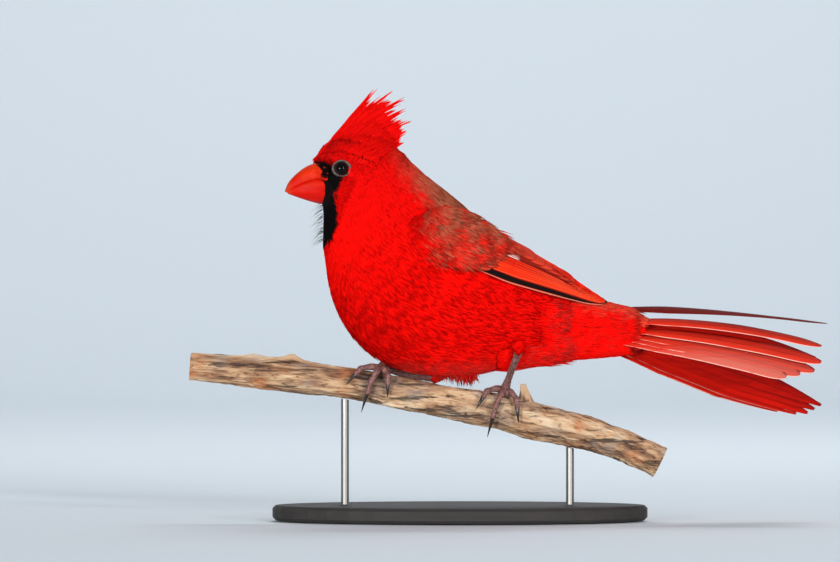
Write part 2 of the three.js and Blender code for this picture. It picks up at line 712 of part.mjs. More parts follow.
function makeLeg(name, leg) {
  const ankle = roundPerch(...leg.grip, perchCore(perchShare(leg.grip[0])) + TARSUS.ankle);
  const [heel, hip] = [V(...leg.heel), V(...leg.hip)];
  const ankleTop = ankle.clone().add(V(0, 0, 1));
  const bend = V(...leg.bend);
  const shank = tube(
    (u) => heel.clone().lerp(ankleTop, u).addScaledVector(bend, Math.sin(Math.PI * u)),
    (u) => {
      const scute = TARSUS.scuteDepth * (1 - ((u * TARSUS.scutes) % 1));
      const ends = Math.max((1 - u * 5) * (TARSUS.heel - TARSUS.radius),
        (u * 4 - 3) * (TARSUS.ankle - TARSUS.radius), 0);
      return TARSUS.radius + ends + scute;
    },
    TARSUS.scutes * 2, 10, V(0, 1, 0),
  );
  const perchRoom = perchSolid(GAP);
  const toes = TOE_ARCS.map((arc, i) =>
    tube(toePath(leg, i, arc.from, arc.to, 0),
      (u) => mix(TOE.radius, TOE.tipRadius, u) + TOE.swell * Math.cos(u * TOE.joints * 2 * Math.PI),
      8, 8, V(1, 0, 0)),
  );
  const hub = new THREE.SphereGeometry(TARSUS.ankle + 0.5, 10, 8)
    .scale(1.25, 1.1, 0.9)
    .translate(ankle.x, ankle.y, ankle.z);
  const foot = joined([solidOfGeometry(hub), ...toes]).subtract(perchRoom).subtract(fullBody);
  const [wide, narrow] = leg.thigh;
  const thighTube = (grow) =>
    tube((u) => hip.clone().lerp(heel, u * 0.94), (u) => mix(wide, narrow, u) + grow, 4, 12, V(0, 1, 0));
  const thigh = thighTube(0).subtract(fullBody);
  const shankClear = shank.subtract(thighTube(GAP)).subtract(fullBody).subtract(perchRoom);
  node(`thigh_${name}`, thigh, COLOURS.plumage);
  node(`leg_${name}`, shankClear, COLOURS.leg, 0.6);
  const footRoom = tube(
    (u) => heel.clone().lerp(ankleTop, u * 1.02).addScaledVector(bend, Math.sin(Math.PI * u)),
    (u) => TARSUS.ankle + TARSUS.scuteDepth + GAP, 6, 12, V(0, 1, 0),
  );
  node(`foot_${name}`, foot.subtract(footRoom), COLOURS.leg, 0.6);
  TOE_ARCS.forEach((arc, i) => {
    const start = arc.to + Math.sign(arc.claw) * CLAW.overlap;
    const claw = tube(toePath(leg, i, start, arc.to + arc.claw, arc.out),
      (u) => mix(CLAW.radius, CLAW.tipRadius, u ** 1.3), 6, 8, V(1, 0, 0));
    node(`claw_${name}_${arc.name}`, claw.subtract(perchRoom), COLOURS.claw, 0.35);
  });
}

function makeStand() {
  const outline = new THREE.Shape();
  outline.absellipse(0, 0, BASE.length / 2 - BASE.bevel, BASE.depth / 2 - BASE.bevel, 0, 2 * Math.PI);
  const plate = new THREE.ExtrudeGeometry(outline, {
    depth: BASE.height - 2 * BASE.bevel,
    bevelThickness: BASE.bevel,
    bevelSize: BASE.bevel,
    bevelSegments: 1,
    curveSegments: BASE.segments / 2,
  }).translate(0, 0, BASE.bevel);
  node("stand_base", solidOfGeometry(plate), COLOURS.base, 0.5);
  const perchRoom = perchSolid(GAP);
  ROD.at.forEach((x, i) => {
    const high = perchPath(perchShare(x)).z - BASE.height - GAP;
    const rod = new THREE.CylinderGeometry(ROD.radius, ROD.radius, high, ROD.sides)
      .rotateX(Math.PI / 2)
      .translate(x, 0, BASE.height + GAP + high / 2);
    node(`stand_rod_${i ? "rear" : "front"}`, solidOfGeometry(rod).subtract(perchRoom), COLOURS.rod, 0.3, 0.9);
  });
}

makeBodyParts();
makeBill();
makeCrest();
for (const side of [-1, 1]) {
  const name = side < 0 ? "left" : "right";
  node(`eye_${name}`, eyeball(side, 0), COLOURS.eye, 0.08);
}
const wing = makeWing(-1);
node("wing_left", wing, COLOURS.wing);
node("wing_right", wing.mirror([0, 1, 0]), COLOURS.wing);
makeTail();
Object.entries(LEGS).forEach(([name, leg]) => makeLeg(name, leg));
node("perch", perchSolid(0), COLOURS.bark, 0.85);
makeStand();

export default group;
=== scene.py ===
"""The finish of a life-size male cardinal on a cut length of branch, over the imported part.

Metres. +X runs from the bill to the tail, -Y is the bird's left side, +Z is up. The body is one
closed loft of slanted ovals, and everything that grows on it is placed by its station and turn.
"""

import bpy
import numpy as np
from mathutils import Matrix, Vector, noise


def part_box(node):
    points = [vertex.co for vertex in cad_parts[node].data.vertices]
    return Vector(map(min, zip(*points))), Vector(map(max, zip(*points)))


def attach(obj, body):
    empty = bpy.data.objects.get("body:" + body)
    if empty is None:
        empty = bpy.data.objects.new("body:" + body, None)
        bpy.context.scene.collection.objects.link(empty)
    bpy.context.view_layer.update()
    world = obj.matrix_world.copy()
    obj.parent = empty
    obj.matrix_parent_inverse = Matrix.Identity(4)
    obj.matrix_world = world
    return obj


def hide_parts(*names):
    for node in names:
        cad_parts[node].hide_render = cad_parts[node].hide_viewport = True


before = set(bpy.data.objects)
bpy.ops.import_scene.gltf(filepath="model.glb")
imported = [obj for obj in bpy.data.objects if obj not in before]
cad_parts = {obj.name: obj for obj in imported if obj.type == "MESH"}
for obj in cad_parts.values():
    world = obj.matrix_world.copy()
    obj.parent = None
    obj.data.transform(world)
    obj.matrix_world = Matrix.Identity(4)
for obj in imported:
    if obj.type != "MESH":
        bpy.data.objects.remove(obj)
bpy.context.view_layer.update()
scene = bpy.context.scene
rng = np.random.default_rng(11)

MM = 0.001
X, Y, Z = np.eye(3)


# Camera

VIEW_CENTRE = np.array([-16, 0, 95.6]) * MM
VIEW_WIDTH = 336 * MM
LENS, SENSOR = 250.0, 36.0


def stand_camera():
    camera = bpy.data.objects.new("camera", bpy.data.cameras.new("camera"))
    camera.data.lens = LENS
    camera.data.sensor_width = SENSOR
    camera.data.clip_end = 50
    camera.location = VIEW_CENTRE - Y * (VIEW_WIDTH * LENS / SENSOR)
    camera.rotation_euler = (np.pi / 2, 0, 0)
    scene.collection.objects.link(camera)
    scene.camera = camera


stand_camera()


# Node trees


class Link:
    """An output of a node. Arithmetic on it adds Math nodes."""

    def __init__(self, net, socket):
        self.net, self.socket = net, socket

    def _math(self, operation, *values):
        return self.net.node("ShaderNodeMath", {"operation": operation}, dict(enumerate(values)))

    def __add__(self, other):
        return self._math("ADD", self, other)

    def __sub__(self, other):
        return self._math("SUBTRACT", self, other)

    def __rsub__(self, other):
        return self._math("SUBTRACT", other, self)

    def __mul__(self, other):
        return self._math("MULTIPLY", self, other)

    def __pow__(self, other):
        return self._math("POWER", self, other)

    __radd__ = __add__
    __rmul__ = __mul__

    def sine(self):
        return self._math("SINE", self)

    def size(self):
        return self._math("ABSOLUTE", self)

    def step(self, low, high):
        """0 below low, 1 above high, smooth between."""
        return self.net.node(
            "ShaderNodeMapRange",
            {"interpolation_type": "SMOOTHSTEP"},
            {"Value": self, "From Min": low, "From Max": high},
        )

    def band(self, rise, fall):
        """1 between the ranges rise and fall, and 0 outside them."""
        return self.step(*rise) * (1 - self.step(*fall))


class Net:
    """A node tree that is built with one method."""

    def __init__(self, tree):
        self.tree = tree

    def node(self, kind, settings=None, inputs=None, out=0):
        made = self.tree.nodes.new(kind)
        for key, value in (settings or {}).items():
            if key == "stops":
                ramp = made.color_ramp
                while len(ramp.elements) < len(value):
                    ramp.elements.new(0.5)
                for element, (place, colour) in zip(ramp.elements, value):
                    element.position = place
                    element.color = (*colour, 1)
            else:
                setattr(made, key, value)
        for key, value in (inputs or {}).items():
            if isinstance(value, Link):
                self.tree.links.new(value.socket, made.inputs[key])
            elif value is not None:
                made.inputs[key].default_value = value
        return Link(self, made.outputs[out]) if len(made.outputs) else made

    def mix(self, a, b, share):
        a, b = ((*c, 1) if isinstance(c, tuple) else c for c in (a, b))
        return self.node("ShaderNodeMix", {"data_type": "RGBA"}, {0: share, 6: a, 7: b}, out=2)

    def darken(self, colour, share):
        """The colour times a number."""
        grey = self.node("ShaderNodeCombineColor", {}, {0: share, 1: share, 2: share})
        colour = (*colour, 1) if isinstance(colour, tuple) else colour
        settings = {"data_type": "RGBA", "blend_type": "MULTIPLY"}
        return self.node("ShaderNodeMix", settings, {0: 1.0, 6: colour, 7: grey}, out=2)

    def noise(self, scale, vector=None, detail=3.0, roughness=0.55):
        return self.node(
            "ShaderNodeTexNoise",
            {},
            {"Vector": vector, "Scale": scale, "Detail": detail, "Roughness": roughness},
        )

    def stretched(self, vector, scale, turn=(0, 0, 0)):
        return self.node("ShaderNodeMapping", {}, {"Vector": vector, "Scale": scale, "Rotation": turn})

    def place(self):
        return self.node("ShaderNodeTexCoord", out=3)

    def parts(self, vector):
        """The three numbers of a vector."""
        split = self.node("ShaderNodeSeparateXYZ", {}, {0: vector}).socket.node
        return [Link(self, split.outputs[i]) for i in range(3)]

    def drawn(self, name):
        """The three numbers of a colour attribute."""
        colour = self.node("ShaderNodeAttribute", {"attribute_name": name})
        split = self.node("ShaderNodeSeparateColor", {}, {0: colour})
        return [Link(self, split.socket.node.outputs[i]) for i in range(3)]

    def bump(self, height, distance, strength=1.0):
        inputs = {"Height": height, "Distance": distance, "Strength": strength}
        return self.node("ShaderNodeBump", {}, inputs)


def paint(red, green, blue):
    """A colour of 0 to 255 as linear light."""
    share = np.array([red, green, blue]) / 255
    bright = ((share + 0.055) / 1.055) ** 2.4
    return tuple(np.where(share < 0.04045, share / 12.92, bright).tolist())


def material(name, draw, **fixed):
    """A material whose base colour, roughness and normal come from draw(net)."""
    made = bpy.data.materials.new(name)
    made.use_nodes = True
    made.node_tree.nodes.clear()
    net = Net(made.node_tree)
    colour, roughness, normal = draw(net)
    if isinstance(colour, tuple):
        colour = (*colour, 1)
    inputs = {"Base Color": colour, "Roughness": roughness, "Normal": normal, **fixed}
    shader = net.node("ShaderNodeBsdfPrincipled", {}, inputs)
    net.node("ShaderNodeOutputMaterial", {}, {"Surface": shader})
    return made


RED = paint(244, 6, 1)
DEEP_RED = paint(228, 6, 2)
ROOT_RED = paint(212, 6, 3)
SCARLET = paint(246, 36, 8)
BLACK = paint(14, 11, 12)
PINK = paint(244, 128, 112)


def plumage_look(net):
    """Small feathers: marks hold the black mask, the brown of the back and the pale edges."""
    black, brown, pale = net.drawn("marks")
    along, draw, _ = net.drawn("grain")
    place = net.place()
    patches = net.noise(120.0, place, 3.0)
    tone = (along * 0.35 + draw * 0.4 + patches * 0.7 - 0.2).step(0.0, 1.0)
    red = net.mix(DEEP_RED, RED, tone)
    red = net.mix(red, SCARLET, (draw - 0.75).step(0.0, 0.3) * 0.3)
    red = net.mix(ROOT_RED, red, (along + 0.2).step(0.0, 0.45))
    # Painted shade: the red is darker higher up on the bird, towards the crown.
    red = net.mix(red, paint(196, 5, 5), net.parts(place)[2].step(0.1, 0.145) * 0.6)
    tone = (along * 0.35 + draw * 0.65).step(0.1, 1.0)
    dusky = net.mix(paint(100, 54, 38), paint(184, 110, 80), tone)
    share = brown * 1.2 + (patches - 0.5) * 0.4 + (draw - 0.5) * 0.35 + (along - 0.5) * 0.3
    colour = net.mix(red, dusky, share.step(0.05, 1.2) * brown.step(0.02, 0.2) * 0.9)
    colour = net.mix(colour, PINK, pale * along.step(0.45, 1.0) * 0.6)
    colour = net.mix(colour, BLACK, black.step(0.35, 0.6))
    return colour, 0.85, net.bump(net.noise(2600.0, place, 2.0), 0.0001, 0.4)


def wing_look(net):
    """Wing vanes: marks hold the black inner web, partly painted shadow, the dull brown of the coverts and
    the pale edge.
    """
    along, across, draw = net.drawn("web")
    dark, brown, pale = net.drawn("marks")
    place = net.place()
    x, _, z = net.parts(place)
    cloud = net.noise(300.0, place, 3.0)
    barbs = (along * 420.0 + (across - 0.5).size() * 80.0).sine() * 0.5 + 0.5
    tone = (draw * 0.8 + barbs * 0.15 + cloud * 0.2).step(0.1, 0.95)
    bright = net.mix(paint(196, 18, 5), paint(230, 46, 14), tone)
    tone = (draw * 0.5 + barbs * 0.1 + cloud * 0.6).step(0.15, 0.95)
    dull = net.mix(paint(122, 30, 20), paint(190, 62, 44), tone)
    colour = net.mix(bright, dull, brown)
    colour = net.mix(colour, paint(160, 104, 80), brown * (cloud - 0.5).step(0.0, 0.2) * 0.5)
    middle = 1 - (across - 0.5).size().step(0.05, 0.3)
    dusk = brown * middle * along.step(0.5, 0.95) * (cloud + 0.3).step(0.5, 1.0)
    colour = net.mix(colour, paint(84, 26, 20), dusk * 0.8)
    # Black inner web of the primaries and alula; on the primaries it also serves as painted shadow in the
    # gap under the secondaries.
    colour = net.mix(colour, paint(16, 8, 8), dark * (across + dark - 1).step(0.09, 0.14))
    # line: painted shadow along each feather's lower edge.
    line = (1 - across.step(0.055, 0.14)) * (1 - dark.step(1.2, 1.4))
    plain = (1 - brown) * (1 - dark)
    # Painted highlight: a lighter orange band beside each feather's shadow line.
    colour = net.mix(colour, paint(244, 88, 46), across.band((0.1, 0.18), (0.2, 0.3)) * plain * 0.5)
    # Paint the shadow line.
    colour = net.mix(colour, paint(66, 12, 8), line * (1 - pale) * (0.9 - brown * 0.6))
    colour = net.mix(colour, paint(206, 116, 94), pale * (1 - across.step(0.07, 0.1)))
    # Painted highlights: white glints on the roots of the secondaries.
    glint = x.band(GLINT_START, GLINT_END) * z.band(GLINT_LOW, GLINT_HIGH)
    glint = glint * across.band((0.03, 0.05), (0.12, 0.15)) * plain
    colour = net.mix(colour, paint(255, 226, 216), glint)
    return colour, 0.7, net.bump(barbs, 0.00006, 0.6)


def tail_look(net):
    """Tail vanes: marks hold the dark middle feather, the deep red underside, partly painted shade, and the
    pale outer web.
    """
    along, across, draw = net.drawn("web")
    dark, under, pale = net.drawn("marks")
    place = net.place()
    streaks = net.noise(520.0, net.stretched(place, (0.08, 1, 1)), 3.0)
    barbs = (along * 900.0 + (across - 0.5).size() * 120.0).sine() * 0.5 + 0.5
    tone = draw * 0.4 + streaks * 0.8 + (across - 0.5) * 0.4
    above = net.mix(paint(166, 20, 8), paint(230, 46, 24), tone.step(0.1, 0.95))
    above = net.mix(above, paint(218, 112, 96), pale * (along + streaks * 0.5).step(0.35, 0.95) * 0.85)
    # below: the underside's deep red, darker partly as painted shade on the far half of the tail.
    below = net.mix(paint(142, 7, 3), paint(194, 17, 4), tone.step(0.1, 0.95))
    colour = net.mix(above, below, under)
    # Painted shade along each feather's inner side, where it lies under its neighbour.
    colour = net.mix(colour, paint(84, 14, 12), (1 - across.step(0.04, 0.3)) * 0.55)
    colour = net.mix(colour, paint(96, 8, 6), dark * 0.96)
    shaft = 1 - (across - 0.5).size().step(0.012, 0.04)
    colour = net.mix(colour, paint(84, 14, 10), shaft * 0.6 * (1 - pale))
    # edge: painted highlight along each feather's outer edge.
    edge = across.step(0.93, 0.985) * (1 - dark) * (1 - under * (1 - pale))
    edge = edge * (streaks + along * 0.3).step(0.4, 0.7)
    colour = net.mix(colour, paint(250, 196, 178), edge * 0.85)
    colour = net.mix(colour, paint(250, 170, 130), under * pale * shaft)
    return colour, 0.75, net.bump(barbs, 0.00006, 0.5)


def bill_look(net):
    place = net.place()
    x, _, z = net.parts(place)
    cloud = net.noise(260.0, place, 4.0)
    tone = (cloud * 0.7 + (z - 0.134) * 50.0).step(0.2, 0.9)
    colour = net.mix(paint(198, 14, 2), paint(214, 52, 10), tone)
    colour = net.mix(colour, paint(184, 74, 36), (-0.0662 - x).step(0.0, 0.004) * 0.7)
    colour = net.mix(colour, paint(120, 30, 16), (-0.0692 - x).step(0.0, 0.0008) * 0.7)
    scratches = net.noise(700.0, net.stretched(place, (0.25, 1, 1.4)), 3.0)
    colour = net.darken(colour, scratches * 0.5 + 0.74)
    return colour, scratches * 0.25 + 0.26, net.bump(scratches, 0.00012, 0.5)


def mouth_look(net):
    cloud = net.noise(500.0, net.place(), 3.0)
    colour = net.mix(paint(70, 12, 8), paint(120, 20, 10), cloud.step(0.3, 0.8))
    return colour, 0.6, net.bump(cloud, 0.0001, 0.4)


def leg_look(net):
    place = net.place()
    settings = {"feature": "DISTANCE_TO_EDGE"}
    scales = net.node("ShaderNodeTexVoronoi", settings, {"Vector": place, "Scale": 1300.0})
    cloud = net.noise(500.0, place, 3.0)
    colour = net.mix(paint(92, 58, 56), paint(168, 116, 108), (cloud * 1.1).step(0.2, 0.9))
    colour = net.mix(paint(60, 38, 36), colour, scales.step(0.0, 0.12))
    return colour, 0.5, net.bump(scales.step(0.0, 0.2), 0.00012, 0.7)


def claw_look(net):
    streak = net.noise(900.0, net.place(), 2.0)
    colour = net.mix(paint(22, 16, 16), paint(66, 48, 46), streak.step(0.3, 0.9))
    return colour, 0.28, net.bump(streak, 0.00005, 0.4)


def eye_look(net):
    """A dark brown eye: the pupil is hardly darker than the iris."""
    place = net.place()
    x, _, z = net.parts(place)
    middle = EYES["left"]
    off = ((x - middle[0]) * (x - middle[0]) + (z - middle[2]) * (z - middle[2])) ** 0.5
    fibres = net.noise(1500.0, place, 3.0)
    iris = net.mix(paint(24, 13, 10), paint(46, 25, 16), fibres.step(0.3, 0.8))
    colour = net.mix(paint(4, 3, 3), iris, off.step(0.0020, 0.0023))
    colour = net.mix(colour, paint(8, 6, 6), off.step(0.0027, 0.003))
    return colour, 0.06, None


def lid_look(net):
    cloud = net.noise(1100.0, net.place(), 3.0)
    colour = net.mix(paint(46, 38, 36), paint(112, 92, 82), cloud.step(0.3, 0.8))
    return colour, 0.6, net.bump(cloud, 0.00015, 0.8)


def bark_look(net):
    """Weathered bark: streaks along the branch, dark cracks, grey and orange flakes."""
    _, _, high = net.drawn("bark")
    place = net.place()
    streaks = net.noise(90.0, net.stretched(place, (0.22, 1.4, 1.4), (0, 0.24, 0)), 6.0, 0.65)
    cracks = net.noise(240.0, net.stretched(place, (0.16, 1.5, 1.5), (0, 0.24, 0)), 4.0, 0.6)
    patches = net.noise(55.0, place, 3.0)
    tones = [
        (0.28, paint(66, 44, 34)),
        (0.42, paint(134, 96, 68)),
        (0.55, paint(186, 150, 114)),
        (0.75, paint(224, 200, 168)),
    ]
    tone = streaks * 0.7 + high * 0.3 + 0.02
    colour = net.node("ShaderNodeValToRGB", {"stops": tones}, {0: tone})
    colour = net.mix(colour, paint(156, 148, 138), patches.step(0.5, 0.68) * 0.5)
    colour = net.mix(colour, paint(178, 104, 58), (1 - patches.step(0.34, 0.46)) * 0.55)
    colour = net.mix(colour, paint(40, 26, 20), (1 - cracks.step(0.36, 0.46)) * 0.85)
    return colour, 0.85, net.bump(streaks * 0.5 + cracks * 0.6, 0.0009, 0.8)


def heartwood_look(net):
    """The sawn ends of the branch: rings round its middle."""
    _, ring, _ = net.drawn("bark")
    wood = net.noise(320.0, net.place(), 4.0)
    rings = (ring * 70.0 + wood * 2.0).sine() * 0.5 + 0.5
    colour = net.mix(paint(170, 128, 84), paint(222, 190, 146), rings)
    return colour, 0.75, net.bump(rings, 0.0001, 0.5)


def base_look(net):
    grain = net.noise(60.0, net.stretched(net.place(), (0.3, 4, 4)), 5.0)
    fine = net.noise(1800.0, net.place(), 2.0)
    colour = net.mix(paint(38, 36, 36), paint(62, 58, 56), grain)
    return colour, fine * 0.2 + 0.52, net.bump(fine, 0.00004, 0.3)


def rod_look(net):
    lines = net.noise(900.0, net.stretched(net.place(), (1, 1, 0.04)), 3.0)
    colour = net.mix(paint(118, 117, 114), paint(160, 158, 155), lines)
    return colour, lines * 0.2 + 0.36, net.bump(lines, 0.00002, 0.3)


def stage_look(net):
    return paint(219, 228, 235), 0.9, None


# Painted highlights, white glints, on the roots of the secondaries: where they begin and end, by x and by z
# in metres
GLINT_START, GLINT_END = (0.0166, 0.0172), (0.0222, 0.0240)
GLINT_LOW, GLINT_HIGH = (0.1006, 0.1012), (0.1056, 0.1062)


def eye_middle(side):
    low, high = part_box(f"eye_{side}")
    return (np.array(low) + np.array(high)) / 2


EYES = {side: eye_middle(side) for side in ("left", "right")}
EYE_RADIUS = 3.7 * MM

LOOKS = {
    "plumage": material("plumage", plumage_look, **{"Specular IOR Level": 0.05}),
    "wing": material("wing_feathers", wing_look, **{"Specular IOR Level": 0.07}),
    "tail": material("tail_feathers", tail_look, **{"Specular IOR Level": 0.07}),
    "bill": material("bill_horn", bill_look, **{"Specular IOR Level": 0.1}),
    "mouth": material("mouth_line", mouth_look, **{"Specular IOR Level": 0.2}),
    "leg": material("leg_scales", leg_look),
    "claw": material("claw_horn", claw_look, **{"Coat Weight": 0.3}),
    "eye": material("eye_ball", eye_look, **{"Specular IOR Level": 0.14}),
    "lid": material("eye_lid", lid_look),
    "bark": material("bark", bark_look),
    "heartwood": material("heartwood", heartwood_look),
    "base": material("base_lacquer", base_look, **{"Specular IOR Level": 0.2}),
    "rod": material("rod_steel", rod_look, **{"Metallic": 1.0}),
    "stage": material("stage_paper", stage_look),
}


# Meshes


def curve(table, t):
    """Rows of a table on a Catmull-Rom curve, at t from 0 to its last index."""
    last = len(table) - 1
    t = np.clip(np.asarray(t, float), 0, last)
    i = np.minimum(t.astype(int), last - 1)
    f = (t - i)[..., None] if table.ndim > 1 else t - i
    a, b, c, d = (table[np.clip(i + k, 0, last)] for k in (-1, 0, 1, 2))
    return b + 0.5 * f * (c - a + f * (2 * a - 5 * b + 4 * c - d + f * (3 * (b - c) + d - a)))


def unit(v):
    return v / np.maximum(np.linalg.norm(v, axis=-1, keepdims=True), 1e-12)


def turns(count):
    """Equal turns round a ring."""
    return np.linspace(0, 2 * np.pi, count, endpoint=False)


def in_plane(row, k):
    """The point of the middle plane whose x and z are a row's numbers k and k + 1."""
    return np.stack([row[..., k], 0 * row[..., k], row[..., k + 1]], -1)


def smooth(x, low, high):
    share = np.clip((np.asarray(x, float) - low) / (high - low), 0, 1)
    return share * share * (3 - 2 * share)


def new_piece(name, points, faces, look, colours=None, patch=None):
    """A mesh object from arrays, with colour attributes and an OFBake map, both by vertex."""
    mesh = bpy.data.meshes.new(name)
    points, faces = np.ascontiguousarray(points, np.float32), np.ascontiguousarray(faces, np.int32)
    count, size = faces.shape
    mesh.vertices.add(len(points))
    mesh.vertices.foreach_set("co", points.ravel())
    mesh.loops.add(faces.size)
    mesh.loops.foreach_set("vertex_index", faces.ravel())
    mesh.polygons.add(count)
    mesh.polygons.foreach_set("loop_start", np.arange(count, dtype=np.int32) * size)
    mesh.update(calc_edges=True)
    for key, values in (colours or {}).items():
        full = np.ones((len(points), 4), np.float32)
        full[:, : values.shape[1]] = values
        mesh.attributes.new(key, "FLOAT_COLOR", "POINT").data.foreach_set("color", full.ravel())
    if patch is not None:
        layer = mesh.uv_layers.new(name="OFBake")
        layer.data.foreach_set("uv", np.ascontiguousarray(patch, np.float32)[faces.ravel()].ravel())
    mesh.polygons.foreach_set("use_smooth", np.ones(count, bool))
    mesh.validate()
    piece = bpy.data.objects.new(name, mesh)
    mesh.materials.append(LOOKS[look])
    scene.collection.objects.link(piece)
    return piece


def belongs(piece, slot, *nodes):
    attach(piece, "root")
    if nodes:
        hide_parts(*nodes)
    return piece


def grid_faces(rows, columns, wrapped):
    """Quads of a grid of vertices, closed round its columns if wrapped."""
    i, j = np.meshgrid(np.arange(rows - 1), np.arange(columns if wrapped else columns - 1), indexing="ij")
    k = (j + 1) % columns
    near, far = i * columns, (i + 1) * columns
    return np.stack([near + j, near + k, far + k, far + j], -1).reshape(-1, 4)


def closed_tube(rings):
    """Points and triangles of a tube from rings (rows, columns, 3), fanned shut at both ends."""
    rows, columns = rings.shape[:2]
    quads = grid_faces(rows, columns, True)
    points = np.concatenate([rings.reshape(-1, 3), rings[0].mean(0)[None], rings[-1].mean(0)[None]])
    hub, j = rows * columns, np.arange(columns)
    k = (j + 1) % columns
    last = (rows - 1) * columns
    start = np.stack([np.full(columns, hub), k, j], -1)
    end = np.stack([np.full(columns, hub + 1), last + j, last + k], -1)
    faces = np.concatenate([quads[:, [0, 1, 2]], quads[:, [0, 2, 3]], start, end])
    a, b, c = (points[faces[:, n]] for n in range(3))
    if np.einsum("ij,ij->", a, np.cross(b, c)) < 0:
        faces = faces[:, ::-1]
    return points, faces


def tube_rings(path, radius, sides, upward):
    """Rings round a path of points (n, 3). radius is (n,) or (n, sides)."""
    way = unit(np.gradient(path, axis=0))
    side = unit(np.cross(way, upward))
    top = np.cross(side, way)
    cos, sin = np.cos(turns(sides))[:, None], np.sin(turns(sides))[:, None]
    radius = radius[:, None] if radius.ndim == 1 else radius
    across = side[:, None] * cos + top[:, None] * sin
    return path[:, None] + across * radius[..., None]


def joined(parts):
    """Several (points, faces) as one."""
    start, points, faces = 0, [], []
    for p, f in parts:
        points.append(p)
        faces.append(f + start)
        start += len(p)
    return np.concatenate(points), np.concatenate(faces)


# Body: rows are x and z of the highest point, x and z of the lowest, and half the breadth

BODY = MM * np.array([
    [-58.6, 143.0, -55.8, 127.0, 3.4],
    [-53.6, 148.0, -55.2, 122.6, 7.2],
    [-47.6, 152.4, -55.4, 117.2, 11.2],
    [-40.6, 154.6, -55.6, 111.0, 13.0],
    [-32.8, 153.8, -55.0, 104.6, 13.8],
    [-25.8, 150.2, -54.2, 97.8, 15.2],
    [-20.0, 145.2, -52.8, 91.0, 17.6],
    [-14.4, 140.2, -50.4, 84.0, 20.2],
    [-8.0, 135.2, -46.4, 76.4, 22.8],
    [-1.6, 130.2, -39.6, 68.2, 24.8],
    [5.6, 123.8, -29.6, 61.4, 25.6],
    [13.6, 116.6, -16.0, 57.4, 25.6],
    [22.4, 108.8, -0.8, 56.4, 24.2],
    [31.2, 101.2, 14.4, 58.6, 21.6],
    [40.0, 94.4, 28.8, 61.8, 17.8],
    [48.0, 89.4, 40.4, 64.4, 13.8],
    [55.2, 86.2, 50.4, 65.6, 10.6],
    [62.4, 84.4, 59.6, 66.6, 8.4],
    [72.0, 82.2, 70.4, 68.6, 5.4],
])
EGG = 0.15  # how much broader each oval is above its middle than below
LAST_STATION = len(BODY) - 1
RUMP_END = 17.6  # the station where skin and coat end


def body_at(t, turn):
    """The body's surface at a station and a turn from its top, positive towards the right side."""
    row = curve(BODY, t)
    top, low = in_plane(row, 0), in_plane(row, 2)
    cos, sin = np.cos(turn)[..., None], np.sin(turn)[..., None]
    return (top + low) / 2 + (top - low) / 2 * cos + Y * row[..., 4:] * sin * (1 + EGG * cos)


def body_frame(t, turn):
    """Place, direction from bill to tail, and outward normal."""
    e = 0.02
    place = body_at(t, turn)
    lie = unit(body_at(np.minimum(t + e, LAST_STATION), turn) - body_at(np.maximum(t - e, 0), turn))
    round_it = body_at(t, turn + e) - body_at(t, turn - e)
    return place, lie, unit(np.cross(lie, round_it))


def by_station(values):
    """A list of (station, value in mm) as a function of the station."""
    stations, found = zip(*values)
    return lambda t: np.interp(t, stations, np.array(found) * MM)


def by_place(values, scale=MM):
    """A list of (place in mm, value) as a function of the place in metres."""
    places, found = zip(*values)
    return lambda x: np.interp(x, np.array(places) * MM, np.array(found) * scale)


COAT_DEPTH = by_station([(0, 0.5), (2, 0.9), (5, 1.4), (9, 1.9), (16, 1.6), (18, 1.2)])
FEATHER = by_station([(0, 2.0), (1.5, 3.2), (4, 5.4), (6, 7.6), (9, 9.6), (13, 10.4), (18, 8.6)])
SPACING = by_station([(0, 0.5), (1.5, 0.72), (4, 1.0), (6, 1.3), (9, 1.55), (18, 1.5)])

# The black mask lies before this x, by height, and the brown back above this height, by x
MASK_EDGE = by_place([
    (108.6, -58), (110.4, -53.4), (115.4, -51.2), (119.5, -49.9), (124, -50.2), (127.3, -50.8), (132, -49.7),
    (134.7, -48.4), (136.4, -46.0), (138, -45), (142.0, -46.5), (142.8, -52), (143.8, -57), (145.4, -60.5),
])
BACK_LINE = by_place([(-60, 152), (-30, 141), (-8, 123), (14, 106), (40, 94), (60, 82), (80, 79)])
# How brown the back is above that line, by x
BACK_BROWN = by_place([
    (-38, 0), (-28, 0.1), (-18, 0.45), (-8, 0.85), (4, 1), (24, 0.75), (60, 0.5), (80, 0.55),
], 1)


def ripple(place, scale, seed=0.0):
    """A smooth random number near 0 for each place."""
    p = place * scale + seed
    return (
        np.sin(p[..., 0] * 1.7 + 1.3 * np.sin(p[..., 2] * 1.1 + seed))
        + np.sin(p[..., 2] * 2.3 + 1.7 * np.sin(p[..., 0] * 0.9))
        + np.sin(p[..., 1] * 2.9 + p[..., 0] * 1.1 + seed)
    ) / 3


def marks_at(place):
    """The shares of black, brown and pale at places on the bird."""
    x, z = place[..., 0], place[..., 2]
    ragged = ripple(place, 1400.0) * 0.5 * MM
    black = 1 - smooth(x + ragged - MASK_EDGE(z), -0.5 * MM, 0.5 * MM)
    height = z - BACK_LINE(x)
    brown = smooth(height + ripple(place, 500.0, 2.0) * 3 * MM, -7 * MM, 6 * MM) * BACK_BROWN(x)
    pale = (1 - smooth(z, 58 * MM, 66 * MM)) * 0.3
    return np.stack([black, brown, pale], -1)


# Small feathers: each tuft is a fan of thin closed blades, and each blade two triangular rings and a tip

BLADE = np.array([
    [0, 2, 1], [0, 1, 4], [0, 4, 3], [1, 2, 5], [1, 5, 4], [2, 0, 3], [2, 3, 5], [3, 4, 6], [4, 5, 6],
    [5, 3, 6],
])
BLADE_POINTS = 7
PATCH = 0.003  # side of a tuft's patch on the OFBake map


